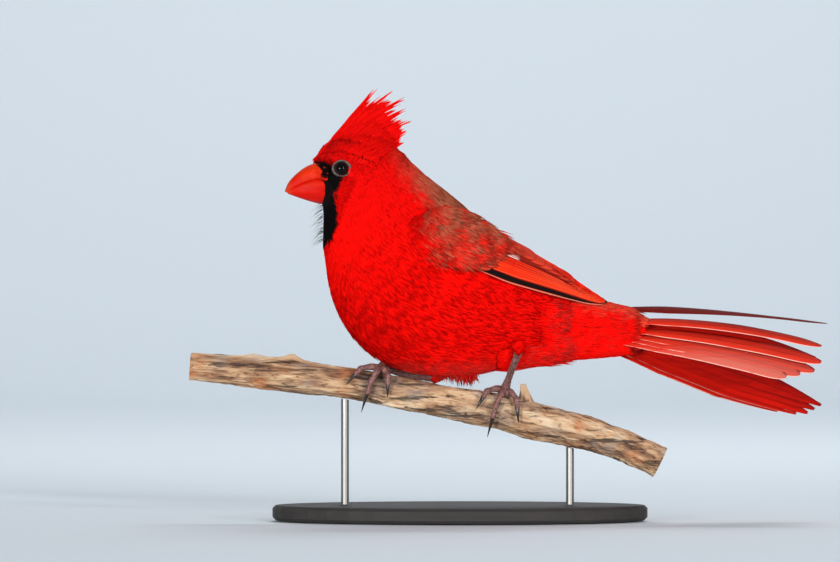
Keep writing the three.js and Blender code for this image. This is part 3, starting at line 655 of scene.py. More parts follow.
def blades_of(root, lie, normal, length, width, marks, patch, blades=6, fan=0.5, rise=0.24, curl=0.1):
    """Points, triangles, attributes and map places of tufts. Arguments up to patch are by tuft."""
    n = len(root)
    width = np.broadcast_to(width, n)
    share = (np.arange(blades) + 0.5) / blades - 0.5
    side = np.cross(normal, lie)
    turn = fan * share + rng.normal(0, 0.07, (n, blades))
    way = lie[:, None] * np.cos(turn)[..., None] + side[:, None] * np.sin(turn)[..., None]
    own_side = np.cross(normal[:, None], way)
    long = length[:, None] * (1 - 0.9 * share**2) * rng.uniform(0.82, 1.08, (n, blades))
    lift = rise * rng.uniform(0.75, 1.2, (n, blades))
    start = root[:, None] + side[:, None] * (share * width[:, None])[..., None]
    blade = (width / blades * 1.5)[:, None, None]
    thick = blade * 0.35
    rings = []
    for u, broad in ((0.0, 0.7), (0.5, 1.0)):
        high = long * (lift * u - curl * u * u)
        middle = start + way * (long * u)[..., None] + normal[:, None] * high[..., None]
        half = own_side * blade * broad / 2
        rings += [middle - half, middle + half, middle + normal[:, None] * thick * broad]
    tip = start + way * long[..., None] + normal[:, None] * (long * (lift - curl))[..., None]
    points = np.stack([*rings, tip], 2).reshape(-1, 3)
    faces = (BLADE[None] + (np.arange(n * blades) * BLADE_POINTS)[:, None, None]).reshape(-1, 3)
    by_blade = blades * BLADE_POINTS
    draw = np.repeat(rng.uniform(0, 1, n), by_blade) * 0.7
    draw = draw + np.repeat(rng.uniform(0, 1, n * blades), BLADE_POINTS) * 0.3
    grain = np.stack([np.tile([0, 0, 0, 0.5, 0.5, 0.5, 1.0], n * blades), draw, 0 * draw], -1)
    across = np.arange(blades)[:, None] + np.array([0.1, 0.9, 0.5, 0.1, 0.9, 0.5, 0.5])
    cell = np.stack([
        np.tile(across.ravel() / blades, n),
        np.tile([0, 0, 0.06, 0.5, 0.5, 0.56, 1.0], n * blades),
    ], -1)
    uv = np.repeat(patch, by_blade, axis=0) + (cell - 0.5) * PATCH
    return points, faces, {"marks": np.repeat(marks, by_blade, axis=0), "grain": grain}, uv


def coat_piece(name, tufts, slot="plumage"):
    """One piece from what blades_of gives."""
    points, faces, colours, patch = tufts
    return belongs(new_piece(name, points, faces, "plumage", colours, patch), slot)


def unwrap(t, turn):
    """The place of a station and a turn on the flat map of the skin."""
    round_share = (turn % (2 * np.pi)) / (2 * np.pi)
    return np.stack([0.02 + 0.96 * round_share, 0.02 + 0.96 * t / LAST_STATION], -1)


def coat_roots(first, last):
    """Stations and turns of tufts between two stations, in staggered rows."""
    found, t, row = [], first, 0
    while t < last:
        ring = body_at(np.full(33, t), np.linspace(0, 2 * np.pi, 33))
        girth = np.linalg.norm(np.diff(ring, axis=0), axis=1).sum()
        count = int(girth / SPACING(t))
        turn = (np.arange(count) + 0.5 * (row % 2) + rng.uniform(-0.35, 0.35, count)) / count * 2 * np.pi
        drift = rng.uniform(-0.4, 0.4, count) * SPACING(t) / (3.5 * MM) / 2
        found.append(np.stack([t + drift, turn % (2 * np.pi)], -1))
        here, ahead = body_at(np.array([t, t + 0.1]), np.full(2, np.pi / 2))
        t += 0.1 * SPACING(t) / np.linalg.norm(ahead - here)
        row += 1
    return np.concatenate(found)


def under_wing(place):
    """True well inside the folded wing's outline, seen from the side."""
    x, z = place[:, 0] / MM, place[:, 2] / MM
    low = np.interp(x, [-12, 0, 12, 32, 56], [108, 104, 99, 93, 88])
    high = np.interp(x, [-12, 0, 14, 34, 48, 56], [117, 120, 112.5, 101, 93, 89])
    return (x > -11) & (x < 52) & (z > low + 2.5) & (z < high - 2.5)


def make_skin():
    """The whole body's skin under the coat, with a hollow for each eye."""
    t = np.linspace(0.0, RUMP_END, 190)
    tt, aa = np.meshgrid(t, turns(128), indexing="ij")
    place, _, normal = body_frame(tt, aa)
    inset = COAT_DEPTH(tt)
    for middle in EYES.values():
        near = np.linalg.norm(place - middle, axis=-1)
        inset = inset + 1.2 * MM * (1 - smooth(near, 3.4 * MM, 5.4 * MM))
    place = place - normal * inset[..., None]
    points, faces = closed_tube(place)
    marks = marks_at(points)
    grain = np.tile([0.35, 0.5, 0.0], (len(points), 1))
    uv = np.concatenate([unwrap(tt, aa).reshape(-1, 2), [[0.5, 0.01], [0.5, 0.99]]])
    skin = new_piece("skin", points, faces, "plumage", {"marks": marks, "grain": grain}, uv)
    belongs(skin, "plumage", "head", "neck", "torso", "thigh_left", "thigh_right")


def body_tufts(stations):
    """The tufts of the coat, with their lie swept a little to and fro."""
    t, turn = stations[:, 0].clip(0, RUMP_END), stations[:, 1]
    place, lie, normal = body_frame(t, turn)
    root = place - normal * (COAT_DEPTH(t) * 1.15)[:, None]
    length = FEATHER(t) * rng.uniform(0.82, 1.1, len(t))
    sweep = ripple(place, 260.0, 4.0) * 0.16
    lie = unit(lie + np.cross(normal, lie) * sweep[:, None])
    marks = marks_at(place + lie * (length * 0.55)[:, None])
    return blades_of(root, lie, normal, length, SPACING(t) * 1.9, marks, unwrap(t, turn),
                     fan=0.28, rise=0.125, curl=0.08)


def make_coat():
    pieces = {
        "coat_face": (0.05, 2.6),
        "coat_head": (2.6, 4.6),
        "coat_neck": (4.6, 6.6),
        "coat_breast": (6.6, 9.0),
        "coat_side": (9.0, 11.6),
        "coat_belly": (11.6, 14.4),
        "coat_rump": (14.4, RUMP_END),
    }
    for name, (first, last) in pieces.items():
        stations = coat_roots(first, last)
        place = body_at(stations[:, 0].clip(0, LAST_STATION), stations[:, 1])
        clear = ~under_wing(place) & (place[:, 0] > FEATHER_LINE(place[:, 2]))
        for middle in EYES.values():
            off_x, off_z = place[:, 0] - middle[0], place[:, 2] - middle[2]
            behind = np.where(off_x < 0, FEATHER(stations[:, 0]) * 0.5, 0)
            clear &= np.hypot(off_x + behind * (np.abs(off_z) < 3.6 * MM), off_z) > 3.7 * MM
        coat_piece(name, body_tufts(stations[clear]))
    flank_fringe()
    belly_wisps()


FRINGE_AT = 36.5 * MM  # x of the fringe's roots


def flank_fringe():
    """The long loose flank feathers with pale tips, which end in front of the tail's root."""
    n = 900
    turn = rng.uniform(0.36, 1.64, n) * np.pi
    spread = np.where(np.abs(turn - np.pi) < 0.9, rng.uniform(-22, 2, n), rng.normal(0, 2.4, n)) * MM
    across = np.linspace(0, RUMP_END, 300)
    t = np.empty(n)
    for k, a in enumerate(turn):
        x = body_at(across, np.full(300, a))[:, 0]
        t[k] = np.interp(FRINGE_AT + spread[k], x, across)
    place, lie, normal = body_frame(t, turn)
    length = rng.uniform(7.5, 11.0, n) * MM
    low = 1 - smooth(place[:, 2], 66 * MM, 76 * MM)
    lie = unit(lie + normal * (0.3 * low * rng.uniform(0.2, 1.3, n) * smooth(spread, -22 * MM, 0))[:, None])
    marks = np.stack([0 * t, 0 * t, rng.uniform(0, 0.45, n)], -1)
    root = place - normal * 0.9 * MM
    tufts = blades_of(root, lie, normal, length, 2.6 * MM, marks, unwrap(t, turn), fan=0.7, curl=0.16)
    coat_piece("flank_fringe", tufts)


def belly_wisps():
    """Loose red feathers that hang under the belly beside the right leg."""
    n = 150
    x = rng.uniform(-10, 3, n)
    root = MM * np.stack([x, rng.uniform(-1, 8, n), np.interp(x, [-10, 3], [66.5, 63.0])], -1)
    lie = unit(np.stack([rng.normal(0.3, 0.12, n), rng.normal(-0.2, 0.15, n), -np.ones(n)], -1))
    normal = unit(np.cross(X, lie))
    length = rng.uniform(8.0, 11.5, n) * MM
    marks = np.stack([0 * x, 0 * x, rng.uniform(0, 0.8, n)], -1)
    patch = np.stack([0.1 + 0.8 * (x + 10) / 14, rng.uniform(0.2, 0.8, n)], -1)
    tufts = blades_of(root, lie, normal, length, 3.4 * MM, marks, patch, blades=5, fan=0.4, rise=0.06)
    coat_piece("belly_wisps", tufts)


# Bill: rows as those of the body

BILL_UPPER = MM * np.array([
    [-54.6, 143.4, -50.2, 132.4, 8.4],
    [-59.2, 142.4, -55.0, 135.8, 5.7],
    [-62.8, 140.6, -59.6, 135.5, 4.2],
    [-66.2, 137.8, -63.4, 134.2, 2.9],
    [-68.7, 134.9, -66.9, 132.6, 1.7],
    [-70.1, 131.5, -69.5, 130.9, 0.4],
])
BILL_LOWER = MM * np.array([
    [-50.2, 132.9, -51.2, 126.6, 8.2],
    [-55.2, 136.1, -55.6, 126.4, 5.6],
    [-59.6, 135.9, -60.2, 127.5, 3.95],
    [-63.2, 134.6, -64.2, 128.8, 2.75],
    [-66.5, 133.0, -67.0, 129.8, 1.6],
    [-69.2, 131.4, -68.9, 130.5, 0.4],
])
# The feathers begin behind this x, by height
FEATHER_LINE = by_place([
    (122, -60), (126, -53.4), (129, -52.4), (132.5, -51.4), (137, -53.6), (140.5, -56.6), (142.2, -60),
    (144, -64),
])
NOSTRIL = np.array([-57.6, 4.6, 139.4]) * MM


def bill_half(table, keel, flat, rows=56, sides=48):
    """Rings of one half of the bill. keel narrows it to its ridge, flat squares its cutting edge."""
    row = curve(table, np.linspace(0, len(table) - 1, rows)[:, None])
    top, low = in_plane(row, 0), in_plane(row, 2)
    cos, sin = np.cos(turns(sides))[:, None], np.sin(turns(sides))[:, None]
    inner = cos * flat < 0
    up = np.where(inner, np.sign(cos) * np.abs(cos) ** 0.4, cos)
    out = np.where(inner, np.sign(sin) * np.abs(sin) ** 0.3, sin)
    return (top + low) / 2 + (top - low) / 2 * up + Y * row[..., 4:] * out * (1 - keel * up)


def make_bill():
    """Two halves of horn with a nostril on each side, and the dark line where they meet."""
    upper = bill_half(BILL_UPPER, 0.16, 1)
    for side in (-1, 1):
        off = (upper - NOSTRIL * [1, side, 1]) / (np.array([0.9, 2.4, 0.5]) * MM)
        pit = np.clip(1 - np.einsum("...i,...i", off, off), 0, 1) ** 0.7
        upper = upper - Y * side * pit[..., None] * 0.9 * MM
    lower = bill_half(BILL_LOWER, -0.12, -1)
    for name, rings in (("bill_upper", upper), ("bill_lower", lower)):
        points, faces = closed_tube(rings)
        belongs(new_piece(f"{name}_horn", points, faces, "bill"), "bill", name)
    edge = (BILL_UPPER[:, 2:4] + BILL_LOWER[:, 0:2]) / 2
    line = np.column_stack([edge + [0, 0.9 * MM], edge - [0, 0.9 * MM], BILL_LOWER[:, 4] * 0.86])
    points, faces = closed_tube(bill_half(line[:-1], 0, 1, 30, 24))
    belongs(new_piece("mouth_line", points, faces, "mouth"), "bill")


# Eyes and lids


def eye_ball(sign):
    """Rings of an eye round its own middle, with the cornea a little proud."""
    height = np.linspace(-1, 1, 40) * np.pi / 2 * 0.995
    shell = EYE_RADIUS * (1 + 0.05 * smooth(np.sin(height), 0.62, 1.0))
    out = (shell * np.cos(height))[:, None]
    deep = np.repeat((sign * shell * np.sin(height))[:, None], 64, 1)
    return np.stack([out * np.cos(turns(64)), deep, out * np.sin(turns(64))], -1)


def lid_ring(sign):
    """Rings of the beaded rim of bare skin round an eye, round the eye's middle."""
    turn = turns(72)
    opening = 3.22 * MM * (1 + 0.035 * np.cos(2 * turn - sign * 0.6))
    path = np.stack([np.cos(turn) * opening * 1.04, 0 * turn, np.sin(turn) * opening * 0.97], -1)
    swell = 1 + 0.14 * np.sin(turn * 18) + 0.1 * np.sin(turn * 31 + 1)
    thick = (0.42 * MM * swell * (1 + 0.28 * np.cos(2 * (turn - 0.6))))[:, None]
    rim = path[:, None] + unit(path)[:, None] * (np.cos(turns(14)) * thick)[..., None]
    rim = rim + Y * sign * (np.sin(turns(14)) * thick * 0.9)[..., None]
    return rim + Y * sign * (np.sqrt(EYE_RADIUS**2 - (3.05 * MM) ** 2) - 0.1 * MM)


def make_eyes():
    for side, sign in (("left", -1), ("right", 1)):
        points, faces = closed_tube(eye_ball(sign) * 0.985 + EYES[side])
        belongs(new_piece(f"eyeball_{side}", points, faces, "eye"), "eye", f"eye_{side}")
        rim = lid_ring(sign) + EYES[side]
        rows, columns = rim.shape[:2]
        quads = grid_faces(rows + 1, columns, True) % (rows * columns)
        if sign > 0:
            quads = quads[:, ::-1]
        belongs(new_piece(f"lid_{side}", rim.reshape(-1, 3), quads, "lid"), "leg")


# Wings

# Least distance from the middle plane, how softly the body's form takes over, and how far the wing
# stands off the body at the side and at the back
WING_KEEL, WING_BLEND, WING_PROUD, WING_RISE = 6.6 * MM, 3 * MM, 1.0 * MM, 3 * MM


def half_breadth(table, x, z, proud, rise):
    """Half the breadth of a loft of slanted ovals at places seen from the side.

    The loft is broader by proud, and its upper half higher by rise.
    """
    low, high = np.zeros_like(x), np.full_like(x, len(table) - 1.0)
    for _ in range(26):
        middle = (low + high) / 2
        row = curve(table, middle)
        up = row[..., 0:2] - row[..., 2:4]
        centre = (row[..., 0:2] + row[..., 2:4]) / 2
        off = (x - centre[..., 0]) * up[..., 1] - (z - centre[..., 1]) * up[..., 0]
        low, high = np.where(off > 0, middle, low), np.where(off > 0, high, middle)
    reach = np.linalg.norm(up, axis=-1) / 2
    above = ((x - centre[..., 0]) * up[..., 0] + (z - centre[..., 1]) * up[..., 1]) / (2 * reach)
    share = above / (reach + np.where(above > 0, rise, 0))
    flat = np.sqrt(np.clip(1 - share**2, 0, 1)) * (1 + EGG * share)
    return (row[..., 4] + proud) * flat


def wing_depth(x, z):
    """Distance of the folded wing's surface from the middle plane."""
    body = half_breadth(BODY, x, z, WING_PROUD, WING_RISE)
    return WING_BLEND * np.log(np.exp(body / WING_BLEND) + np.exp(WING_KEEL / WING_BLEND))


def on_wing(side, x, z, lift):
    """Place and normal on the folded wing, lifted off its mean surface."""
    e = 0.4 * MM
    y = wing_depth(x, z)
    slope_x = (wing_depth(x + e, z) - wing_depth(x - e, z)) / (2 * e)
    slope_z = (wing_depth(x, z + e) - wing_depth(x, z - e)) / (2 * e)
    normal = unit(np.stack([-slope_x, np.ones_like(x), -slope_z], -1))
    place = np.stack([x, y, z], -1) + normal * np.asarray(lift)[..., None]
    return place * [1, side, 1], normal * [1, side, 1]


# Each row of vanes: how many, the first and last feather's root and tip seen from the side, breadth,
# how high the root and the tip lie, the bow, how much the tips vary, and the shares of black inner
# web (partly painted shadow), of brown and of pale edge
WING_ROWS = [
    ("primaries", 5, [(4, 102.2), (10, 103.8)], [(58.9, 87.0), (54.0, 89.0)],
     4.6, (-0.9, -0.3), -0.7, 0.3, 1, 0.1, 1),
    ("secondaries", 10, [(8, 102.7), (16, 111.4)], [(58.4, 86.9), (45.0, 94.8)],
     4.4, (-0.2, 0.2), 0.5, 0.3, 0, 0, 0),
    ("tertials", 5, [(8, 112.0), (7, 115.0)], [(45.6, 95.2), (30, 103.8)],
     4.8, (0.1, 0.6), 0.6, 0.8, 0, 0.3, 0),
    ("greater_coverts", 12, [(-5, 104.6), (4, 114.6)], [(12.4, 100.4), (21.6, 108.8)],
     4.2, (0.1, 0.8), 0.5, 1.3, 0, 0.75, 0),
    ("median_coverts", 11, [(-6.5, 107.4), (-3, 118.6)], [(4.4, 103.2), (12.6, 113.6)],
     3.8, (0.3, 1.0), 0.4, 1.6, 0, 0.9, 0),
    ("alula", 2, [(-3, 105.0), (-3, 106.2)], [(14.4, 101.2), (12, 103.0)],
     2.2, (0.5, 1.0), -0.4, 0.3, 0.6, 0.6, 0),
]
# The primaries under the first are all black: partly their dark web, partly painted shadow in the gap under
# the secondaries.
BLACK_WEB_AND_SHADOW = [2, 0, 0]  # marks of the primaries that lie under the first


def vane_faces(rows, columns):
    """Triangles of a closed vane: an outer and an inner grid, and the rim between them."""
    outer = grid_faces(rows, columns, False)
    n = rows * columns
    rim = np.concatenate([
        np.arange(rows) * columns,
        (rows - 1) * columns + np.arange(1, columns),
        (np.arange(rows - 1, 0, -1) - 1) * columns + columns - 1,
        np.arange(columns - 2, 0, -1),
    ])
    nxt = np.roll(rim, -1)
    sides = np.stack([rim, nxt, nxt + n, rim + n], -1)
    quads = np.concatenate([outer, outer[:, ::-1] + n, sides])
    return np.concatenate([quads[:, [0, 1, 2]], quads[:, [0, 2, 3]]])


def vane_outline(u, v, ragged, taper, point):
    """Shares across and along a vane's grid, its root narrow and its tip round or pointed."""
    end = np.clip((u - taper) / (1.005 - taper), 0, 1)
    tip = np.sqrt(np.clip(1 - end**2.4, 0.02, 1)) * (1 - point) + (1 - 0.9 * end**1.3) * point
    width = np.minimum(1, 0.3 + 2.4 * u) * tip
    split = ragged * np.sin(v * 9 + 360 * ragged) * smooth(u, 0.6, 1.0)
    return v * width, u - np.abs(split)


class Vanes:
    """Gathers closed vanes for one piece, each drawn on a surface(u, v) from root to tip and across."""

    def __init__(self):
        self.parts, self.web, self.marks, self.cells = [], [], [], []

    def add(self, surface, rows, columns, thick, marks, draw, ragged=0.02, shaft=0.0, taper=0.8, point=0.0):
        u, v = np.meshgrid(np.linspace(0, 1, rows), np.linspace(-1, 1, columns), indexing="ij")
        across, along = vane_outline(u, v, ragged, taper, point)
        place, normal = surface(along, across)
        ridge = shaft * np.exp(-((v / 0.12) ** 2))[..., None] * normal
        half = normal * (thick / 2 * (1 - 0.6 * np.abs(v) ** 3))[..., None]
        points = np.concatenate([(place + half + ridge).reshape(-1, 3), (place - half).reshape(-1, 3)])
        faces = vane_faces(rows, columns)
        a, b, c = (points[faces[:, k]] for k in range(3))
        middle = points.mean(0)
        if np.einsum("ij,ij->", a - middle, np.cross(b - middle, c - middle)) < 0:
            faces = faces[:, ::-1]
        self.parts.append((points, faces))
        web = np.stack([u, (v + 1) / 2, np.full_like(u, draw)], -1).reshape(-1, 3)
        self.web.append(np.tile(web, (2, 1)))
        self.marks.append(np.tile(marks, (len(points), 1)))
        own = np.stack([(v + 1) / 2 * 0.4, u * 0.9], -1).reshape(-1, 2)
        self.cells.append(np.concatenate([own + [0.05, 0.05], own + [0.52, 0.05]]))

    def piece(self, name, look, slot, *nodes):
        across = int(np.ceil(np.sqrt(len(self.cells))))
        cells = [(c + [i % across, i // across]) / across for i, c in enumerate(self.cells)]
        points, faces = joined(self.parts)
        web = np.concatenate(self.web)
        grain = np.stack([0.4 + 0.6 * web[:, 0], web[:, 2], 0 * web[:, 2]], -1)
        colours = {"web": web, "grain": grain, "marks": np.concatenate(self.marks)}
        return belongs(new_piece(name, points, faces, look, colours, np.concatenate(cells)), slot, *nodes)


def wing_vane(vanes, side, row, i):
    name, count, roots, tips, width, lifts, bow, jitter, *marks = row
    share = i / (count - 1)
    if name == "primaries" and i:
        marks = BLACK_WEB_AND_SHADOW
    root = np.array(roots[0]) * (1 - share) + np.array(roots[1]) * share
    tip = np.array(tips[0]) * (1 - share) + np.array(tips[1]) * share
    tip = tip + (tip - root) / np.linalg.norm(tip - root) * rng.uniform(-jitter, jitter)
    root, tip = root * MM, tip * MM
    way = tip - root
    wide = np.array([-way[1], way[0]]) / np.linalg.norm(way)
    stack = 0.22 * share

    def surface(u, v):
        out = v * width / 2 * MM + bow * MM * 4 * u * (1 - u)
        x = root[0] + way[0] * u + wide[0] * out
        z = root[1] + way[1] * u + wide[1] * out
        lift = (lifts[0] + (lifts[1] - lifts[0]) * u + stack - 0.2 * v + 0.25 * (1 - v * v)) * MM
        return on_wing(side, x, z, lift)

    taper = 0.7 if jitter > 1 else 0.82
    vanes.add(surface, 30, 9, 0.16 * MM, marks, rng.uniform(), 0.012, 0.06 * MM, taper)


def make_wings():
    for side, name in ((-1, "left"), (1, "right")):
        vanes = Vanes()
        for row in WING_ROWS:
            for i in range(row[1]):
                wing_vane(vanes, side, row, i)
        vanes.piece(f"wing_vanes_{name}", "wing", "wing", f"wing_{name}")
        cover_wing(name, side)


def cover_wing(name, side):
    """Lesser coverts and scapulars: soft feathers over the shoulder and the wing's upper edge."""
    found = []
    for x in np.arange(-21, 19, 1.1):
        low = np.interp(x, [-21, -12, 0, 8, 19], [111.0, 105.4, 103.0, 106.2, 109.6])
        high = np.interp(x, [-21, -8, 0, 12, 19], [120, 125.4, 123.8, 115.4, 110.0])
        for z in np.arange(low, high, 1.1):
            if x < 2 or rng.uniform() < np.interp(z - low, [0, 5], [0.25, 0.9]):
                edge = min(x + 21, (z - low) * 1.3 + 3 * max(x + 6, 0))
                off_x, off_z = rng.uniform(-0.6, 0.6), rng.uniform(-0.6, 0.6)
                found.append((x + off_x, z + off_z, np.interp(edge, [0, 7, 13], [-2.8, -0.5, 1.0])))
    x, z, sunk = (np.array(found) * MM).T
    e = 0.5 * MM
    ends = np.array([-20, 24]) * MM
    slope = np.interp(x, ends, [-0.62, -0.5])
    root, normal = on_wing(side, x, z, sunk)
    ahead, _ = on_wing(side, x + e, z + e * slope, sunk)
    lie = unit(ahead - root)
    length = np.interp(x, ends, [6.5, 8.6]) * MM * rng.uniform(0.85, 1.15, len(x))
    marks = marks_at(root)
    marks[:, 0] = 0
    soft = smooth(x, -21 * MM, -9 * MM) * (0.4 + 0.32 * smooth(z, 108 * MM, 120 * MM))
    marks[:, 1] = np.clip(soft + ripple(root, 450.0) * 0.2 + rng.normal(0, 0.1, len(x)), 0, 1)
    patch = np.stack([0.1 + 0.8 * (x / MM + 20) / 50, 0.1 + 0.8 * (z / MM - 95) / 40], -1)
    tufts = blades_of(root, lie, normal, length, 2.9 * MM, marks, patch,
                      blades=8, fan=0.36, rise=0.2, curl=0.12)
    coat_piece(f"shoulder_{name}", tufts)


# Crest: the rows of its core are as those of the body

CREST_CORE = MM * np.array([
    [-54.0, 145.4, -52.0, 143.0, 2.6],
    [-47.4, 152.8, -46.0, 142.0, 4.1],
    [-42.0, 158.0, -39.4, 142.0, 4.4],
    [-36.6, 160.8, -32.4, 142.0, 4.1],
    [-31.8, 158.4, -28.0, 141.0, 3.9],
    [-27.6, 153.6, -24.6, 139.8, 3.6],
    [-24.4, 148.0, -22.0, 139.0, 3.0],
])
CREST_INSET = 0.8 * MM
# Feathers from the front of the crest to its back: x and z of the root, the middle and the tip
CREST_GUIDES = MM * np.array([
    [-57.3, 145.2, -46.1, 158.2, -33.7, 173.4],
    [-54.0, 146.3, -41.6, 159.8, -26.4, 172.2],
    [-50.6, 146.8, -37.4, 159.6, -20.3, 169.2],
    [-47.0, 147.0, -34.2, 157.4, -21.0, 163.8],
    [-43.0, 146.0, -31.8, 153.8, -18.2, 160.2],
    [-38.6, 144.6, -29.8, 150.8, -20.4, 155.8],
    [-34.4, 143.0, -28.2, 147.6, -22.4, 151.0],
])
LAST_GUIDE = len(CREST_GUIDES) - 1
GUIDE_STEPS = [0, 0.6, 3, 4, 6]  # crest feathers at which the share where they begin is given
# Height of the middle of the crest's core, by x
CREST_MIDDLE = by_place([
    (-53, 144.7), (-46.9, 148.4), (-40.8, 150.8), (-34.5, 151.9), (-29.9, 150.2), (-26.1, 147),
    (-23.2, 143.7),
])


def crest_at(s, u):
    """Place in the middle plane on crest feather s, counted from the front, at share u of its length."""
    row = curve(CREST_GUIDES, s)
    root, middle, tip = (in_plane(row, k) for k in (0, 2, 4))
    bend = 2 * middle - (root + tip) / 2
    u = np.asarray(u)[..., None]
    return root * (1 - u) ** 2 + bend * 2 * u * (1 - u) + tip * u**2


def crest_way(s, u):
    """The direction of that feather there."""
    return unit(crest_at(s, np.minimum(u + 0.01, 1)) - crest_at(s, np.maximum(u - 0.01, 0)))


def core_breadth(middle):
    """Half the breadth of the crest's core beside places in the middle plane, full below its middle."""
    high = np.maximum(middle[..., 2], CREST_MIDDLE(middle[..., 0]))
    return half_breadth(CREST_CORE, middle[..., 0], high, 0, 0)


def skull_breadth(middle):
    """Half the breadth of the body beside places in the middle plane."""
    return half_breadth(BODY, middle[..., 0], middle[..., 2], 0, 0)


def make_crest():
    t, turn = np.linspace(0, len(CREST_CORE) - 1, 60)[:, None], turns(48)[None]
    row = curve(CREST_CORE, t)
    top, low = in_plane(row, 0), in_plane(row, 2)
    up = unit(top - low)
    cos, sin = np.cos(turn)[..., None], np.sin(turn)[..., None]
    high = np.linalg.norm(top - low, axis=-1, keepdims=True) / 2 - CREST_INSET
    rings = (top + low) / 2 + up * high * cos + Y * (row[..., 4:] - CREST_INSET) * sin * (1 + EGG * cos)
    points, faces = closed_tube(rings)
    colours = {"marks": marks_at(points) * [1, 0, 0], "grain": np.tile([0.5, 0.5, 0.0], (len(points), 1))}
    shares = np.stack([turn / (2 * np.pi) + 0 * t, t / (len(CREST_CORE) - 1) + 0 * turn], -1)
    patch = np.concatenate([shares.reshape(-1, 2) * 0.96 + 0.02, [[0.5, 0.01], [0.5, 0.99]]])
    belongs(new_piece("crest_skin", points, faces, "plumage", colours, patch), "crest")
    crest_coat()
    crest_strands()


def crest_coat():
    """Fine feathers over both sides of the crest, swept back along its guides."""
    n = 1300
    s = rng.uniform(0.25, LAST_GUIDE, n)
    u = rng.uniform(np.interp(s, GUIDE_STEPS, [0, -0.02, -0.1, -0.2, -0.42]), 0.1)
    side = rng.choice([-1, 1], n)
    middle, way = crest_at(s, u), crest_way(s, u)
    half = core_breadth(middle)
    depth = np.maximum(np.maximum(half, skull_breadth(middle)) - 0.75 * MM, 1.1 * MM)
    place = middle + Y * (side * depth)[:, None]
    taper = np.where(u > 0.12, 0.12, 0.3)
    lie = unit(way - Y * (side * taper)[:, None])
    across = np.cross(way, Y * side[:, None])
    lean = np.clip(1 - half / (5 * MM), 0, 1) * 0.3
    normal = unit(Y * side[:, None] + across * (lean * np.sign(across[:, 2]))[:, None])
    length = rng.uniform(4.5, 7.0, n) * MM * (1 - 0.3 * (u < 0.15))
    marks = marks_at(place) * [1, 0, 0]
    patch = np.stack([0.02 + 0.96 * s / LAST_GUIDE, 0.5 + side * 0.45 * u], -1)
    tufts = blades_of(place, lie, normal, length, 1.9 * MM, marks, patch,
                      blades=5, fan=0.3, rise=0.13, curl=0.07)
    coat_piece("crest_coat", tufts, "crest")


def crest_strands():
    """Long narrow feathers in bunches that end in the crest's points, short ones, and side ones."""
    vanes = Vanes()
    bunches = [k for k in range(LAST_GUIDE + 1) for _ in range(7)]
    long = [(k + rng.normal(0, 0.09), rng.uniform(0.88, 1.0), 1.25) for k in bunches]
    short = [(rng.uniform(0, LAST_GUIDE), rng.uniform(0.6, 0.87), 1.8) for _ in range(330)]
    sides = [(LAST_GUIDE * rng.uniform() ** 1.3, rng.uniform(0.1, 0.78), 1.5) for _ in range(900)]
    for k, (s, end, broad) in enumerate(long + short + sides):
        s = float(np.clip(s, 0, LAST_GUIDE))
        on_side = k >= len(long + short)
        lowest = np.interp(s, GUIDE_STEPS, [-0.02, -0.02, -0.08, -0.18, -0.4])
        start = max(end - rng.uniform(0.34, 0.5), lowest + rng.uniform(0, 0.14))
        layer = rng.choice([-1.0, 1.0]) if on_side else rng.uniform(-1, 1)
        depth = 3.4 * MM * (1 - 0.65 * end) * layer * (0.5 if s < 0.4 else 1)
        above = rng.uniform(0.05, 0.6) * MM
        width = broad * rng.uniform(0.7, 1.1) * MM
        bend = rng.normal(0, 0.35) * MM

        def surface(u, v):
            where = start + (end - start) * u
            guide = np.full(u.shape, s)
            middle, way = crest_at(guide, where), crest_way(guide, where)
            across = np.cross(way, Y)
            out = v * width / 2 * (1 - 0.9 * u**1.1) + bend * u * u
            beside = depth * (1 - 0.5 * u)
            if on_side:
                core = np.maximum(core_breadth(middle) - 0.3 * MM, skull_breadth(middle))
                core = np.maximum(core, 1.5 * MM * (1 - where))
                beside = layer * (core + above - 2.0 * MM * (1 - u) ** 2.2)
            place = middle + across * out[..., None] + Y * (beside + 0.2 * MM * (1 - v * v))[..., None]
            return place, unit(Y * (np.sign(layer) or 1) + across * 0.4 * v[..., None])

        rows, columns = (9, 3) if on_side else (13, 5)
        vanes.add(surface, rows, columns, 0.14 * MM, [0, 0, 0], rng.uniform(), 0.02)
    vanes.piece("crest_vanes", "plumage", "crest", "crest")


# Tail

TAIL_ROOT, TAIL_SPREAD = np.array([57.0, 0, 75.4]) * MM, 5.6 * MM
# The left and the right half, from the middle feather out: tips, slope of the breadth in degrees,
# breadth, how far a feather bows up, how high its root sits, the twist at the root in degrees and the
# share of pale web. Then where the tips taper, and the share of the underside that shows. Sizes in mm.
TAIL = {
    -1: {
        "tips": [
            [147.0, -2, 78.0], [144.4, -7, 69.4], [144.0, -13, 63.4],
            [141.0, -18, 60.4], [135.0, -22.4, 59.6], [129.4, -26, 59.0],
        ],
        "slopes": [2, 16, 24, 26, 28, 30],
        "widths": [9.5, 11, 11.5, 12, 12, 11],
        "sag": [2.0, 3.6, 2.6, 2.2, 2.2, 2.0],
        "rise": [8.2, 3.6, 1.2, 0, -1.2, -2.4],
        "twist": [44, 12, 0, 0, 0, 0],
        "pale": [0, 0.1, 0.1, 0.35, 0.6, 1.0],
        "taper": 0.86,
        "under": 0.0,
    },
    1: {
        "tips": [
            [142.6, 2.4, 64.4], [145.4, 8, 45.4], [143.0, 12, 44.0],
            [140.4, 15, 42.6], [136.0, 18, 42.6], [128.6, 20, 43.8],
        ],
        "slopes": [40, 52, 56, 58, 60, 62],
        "widths": [10, 12, 12.5, 12.5, 12.5, 11.5],
        "sag": [2.6, 1.6, 1.2, 1.0, 0.8, 0.6],
        "rise": [3.0, 0, -1.4, -2.8, -4.2, -5.6],
        "twist": [0, 0, 0, 0, 0, 0],
        "pale": [0, 0, 0, 0, 0.4, 1.0],
        "taper": 0.6,
        "under": 1.0,
    },
}


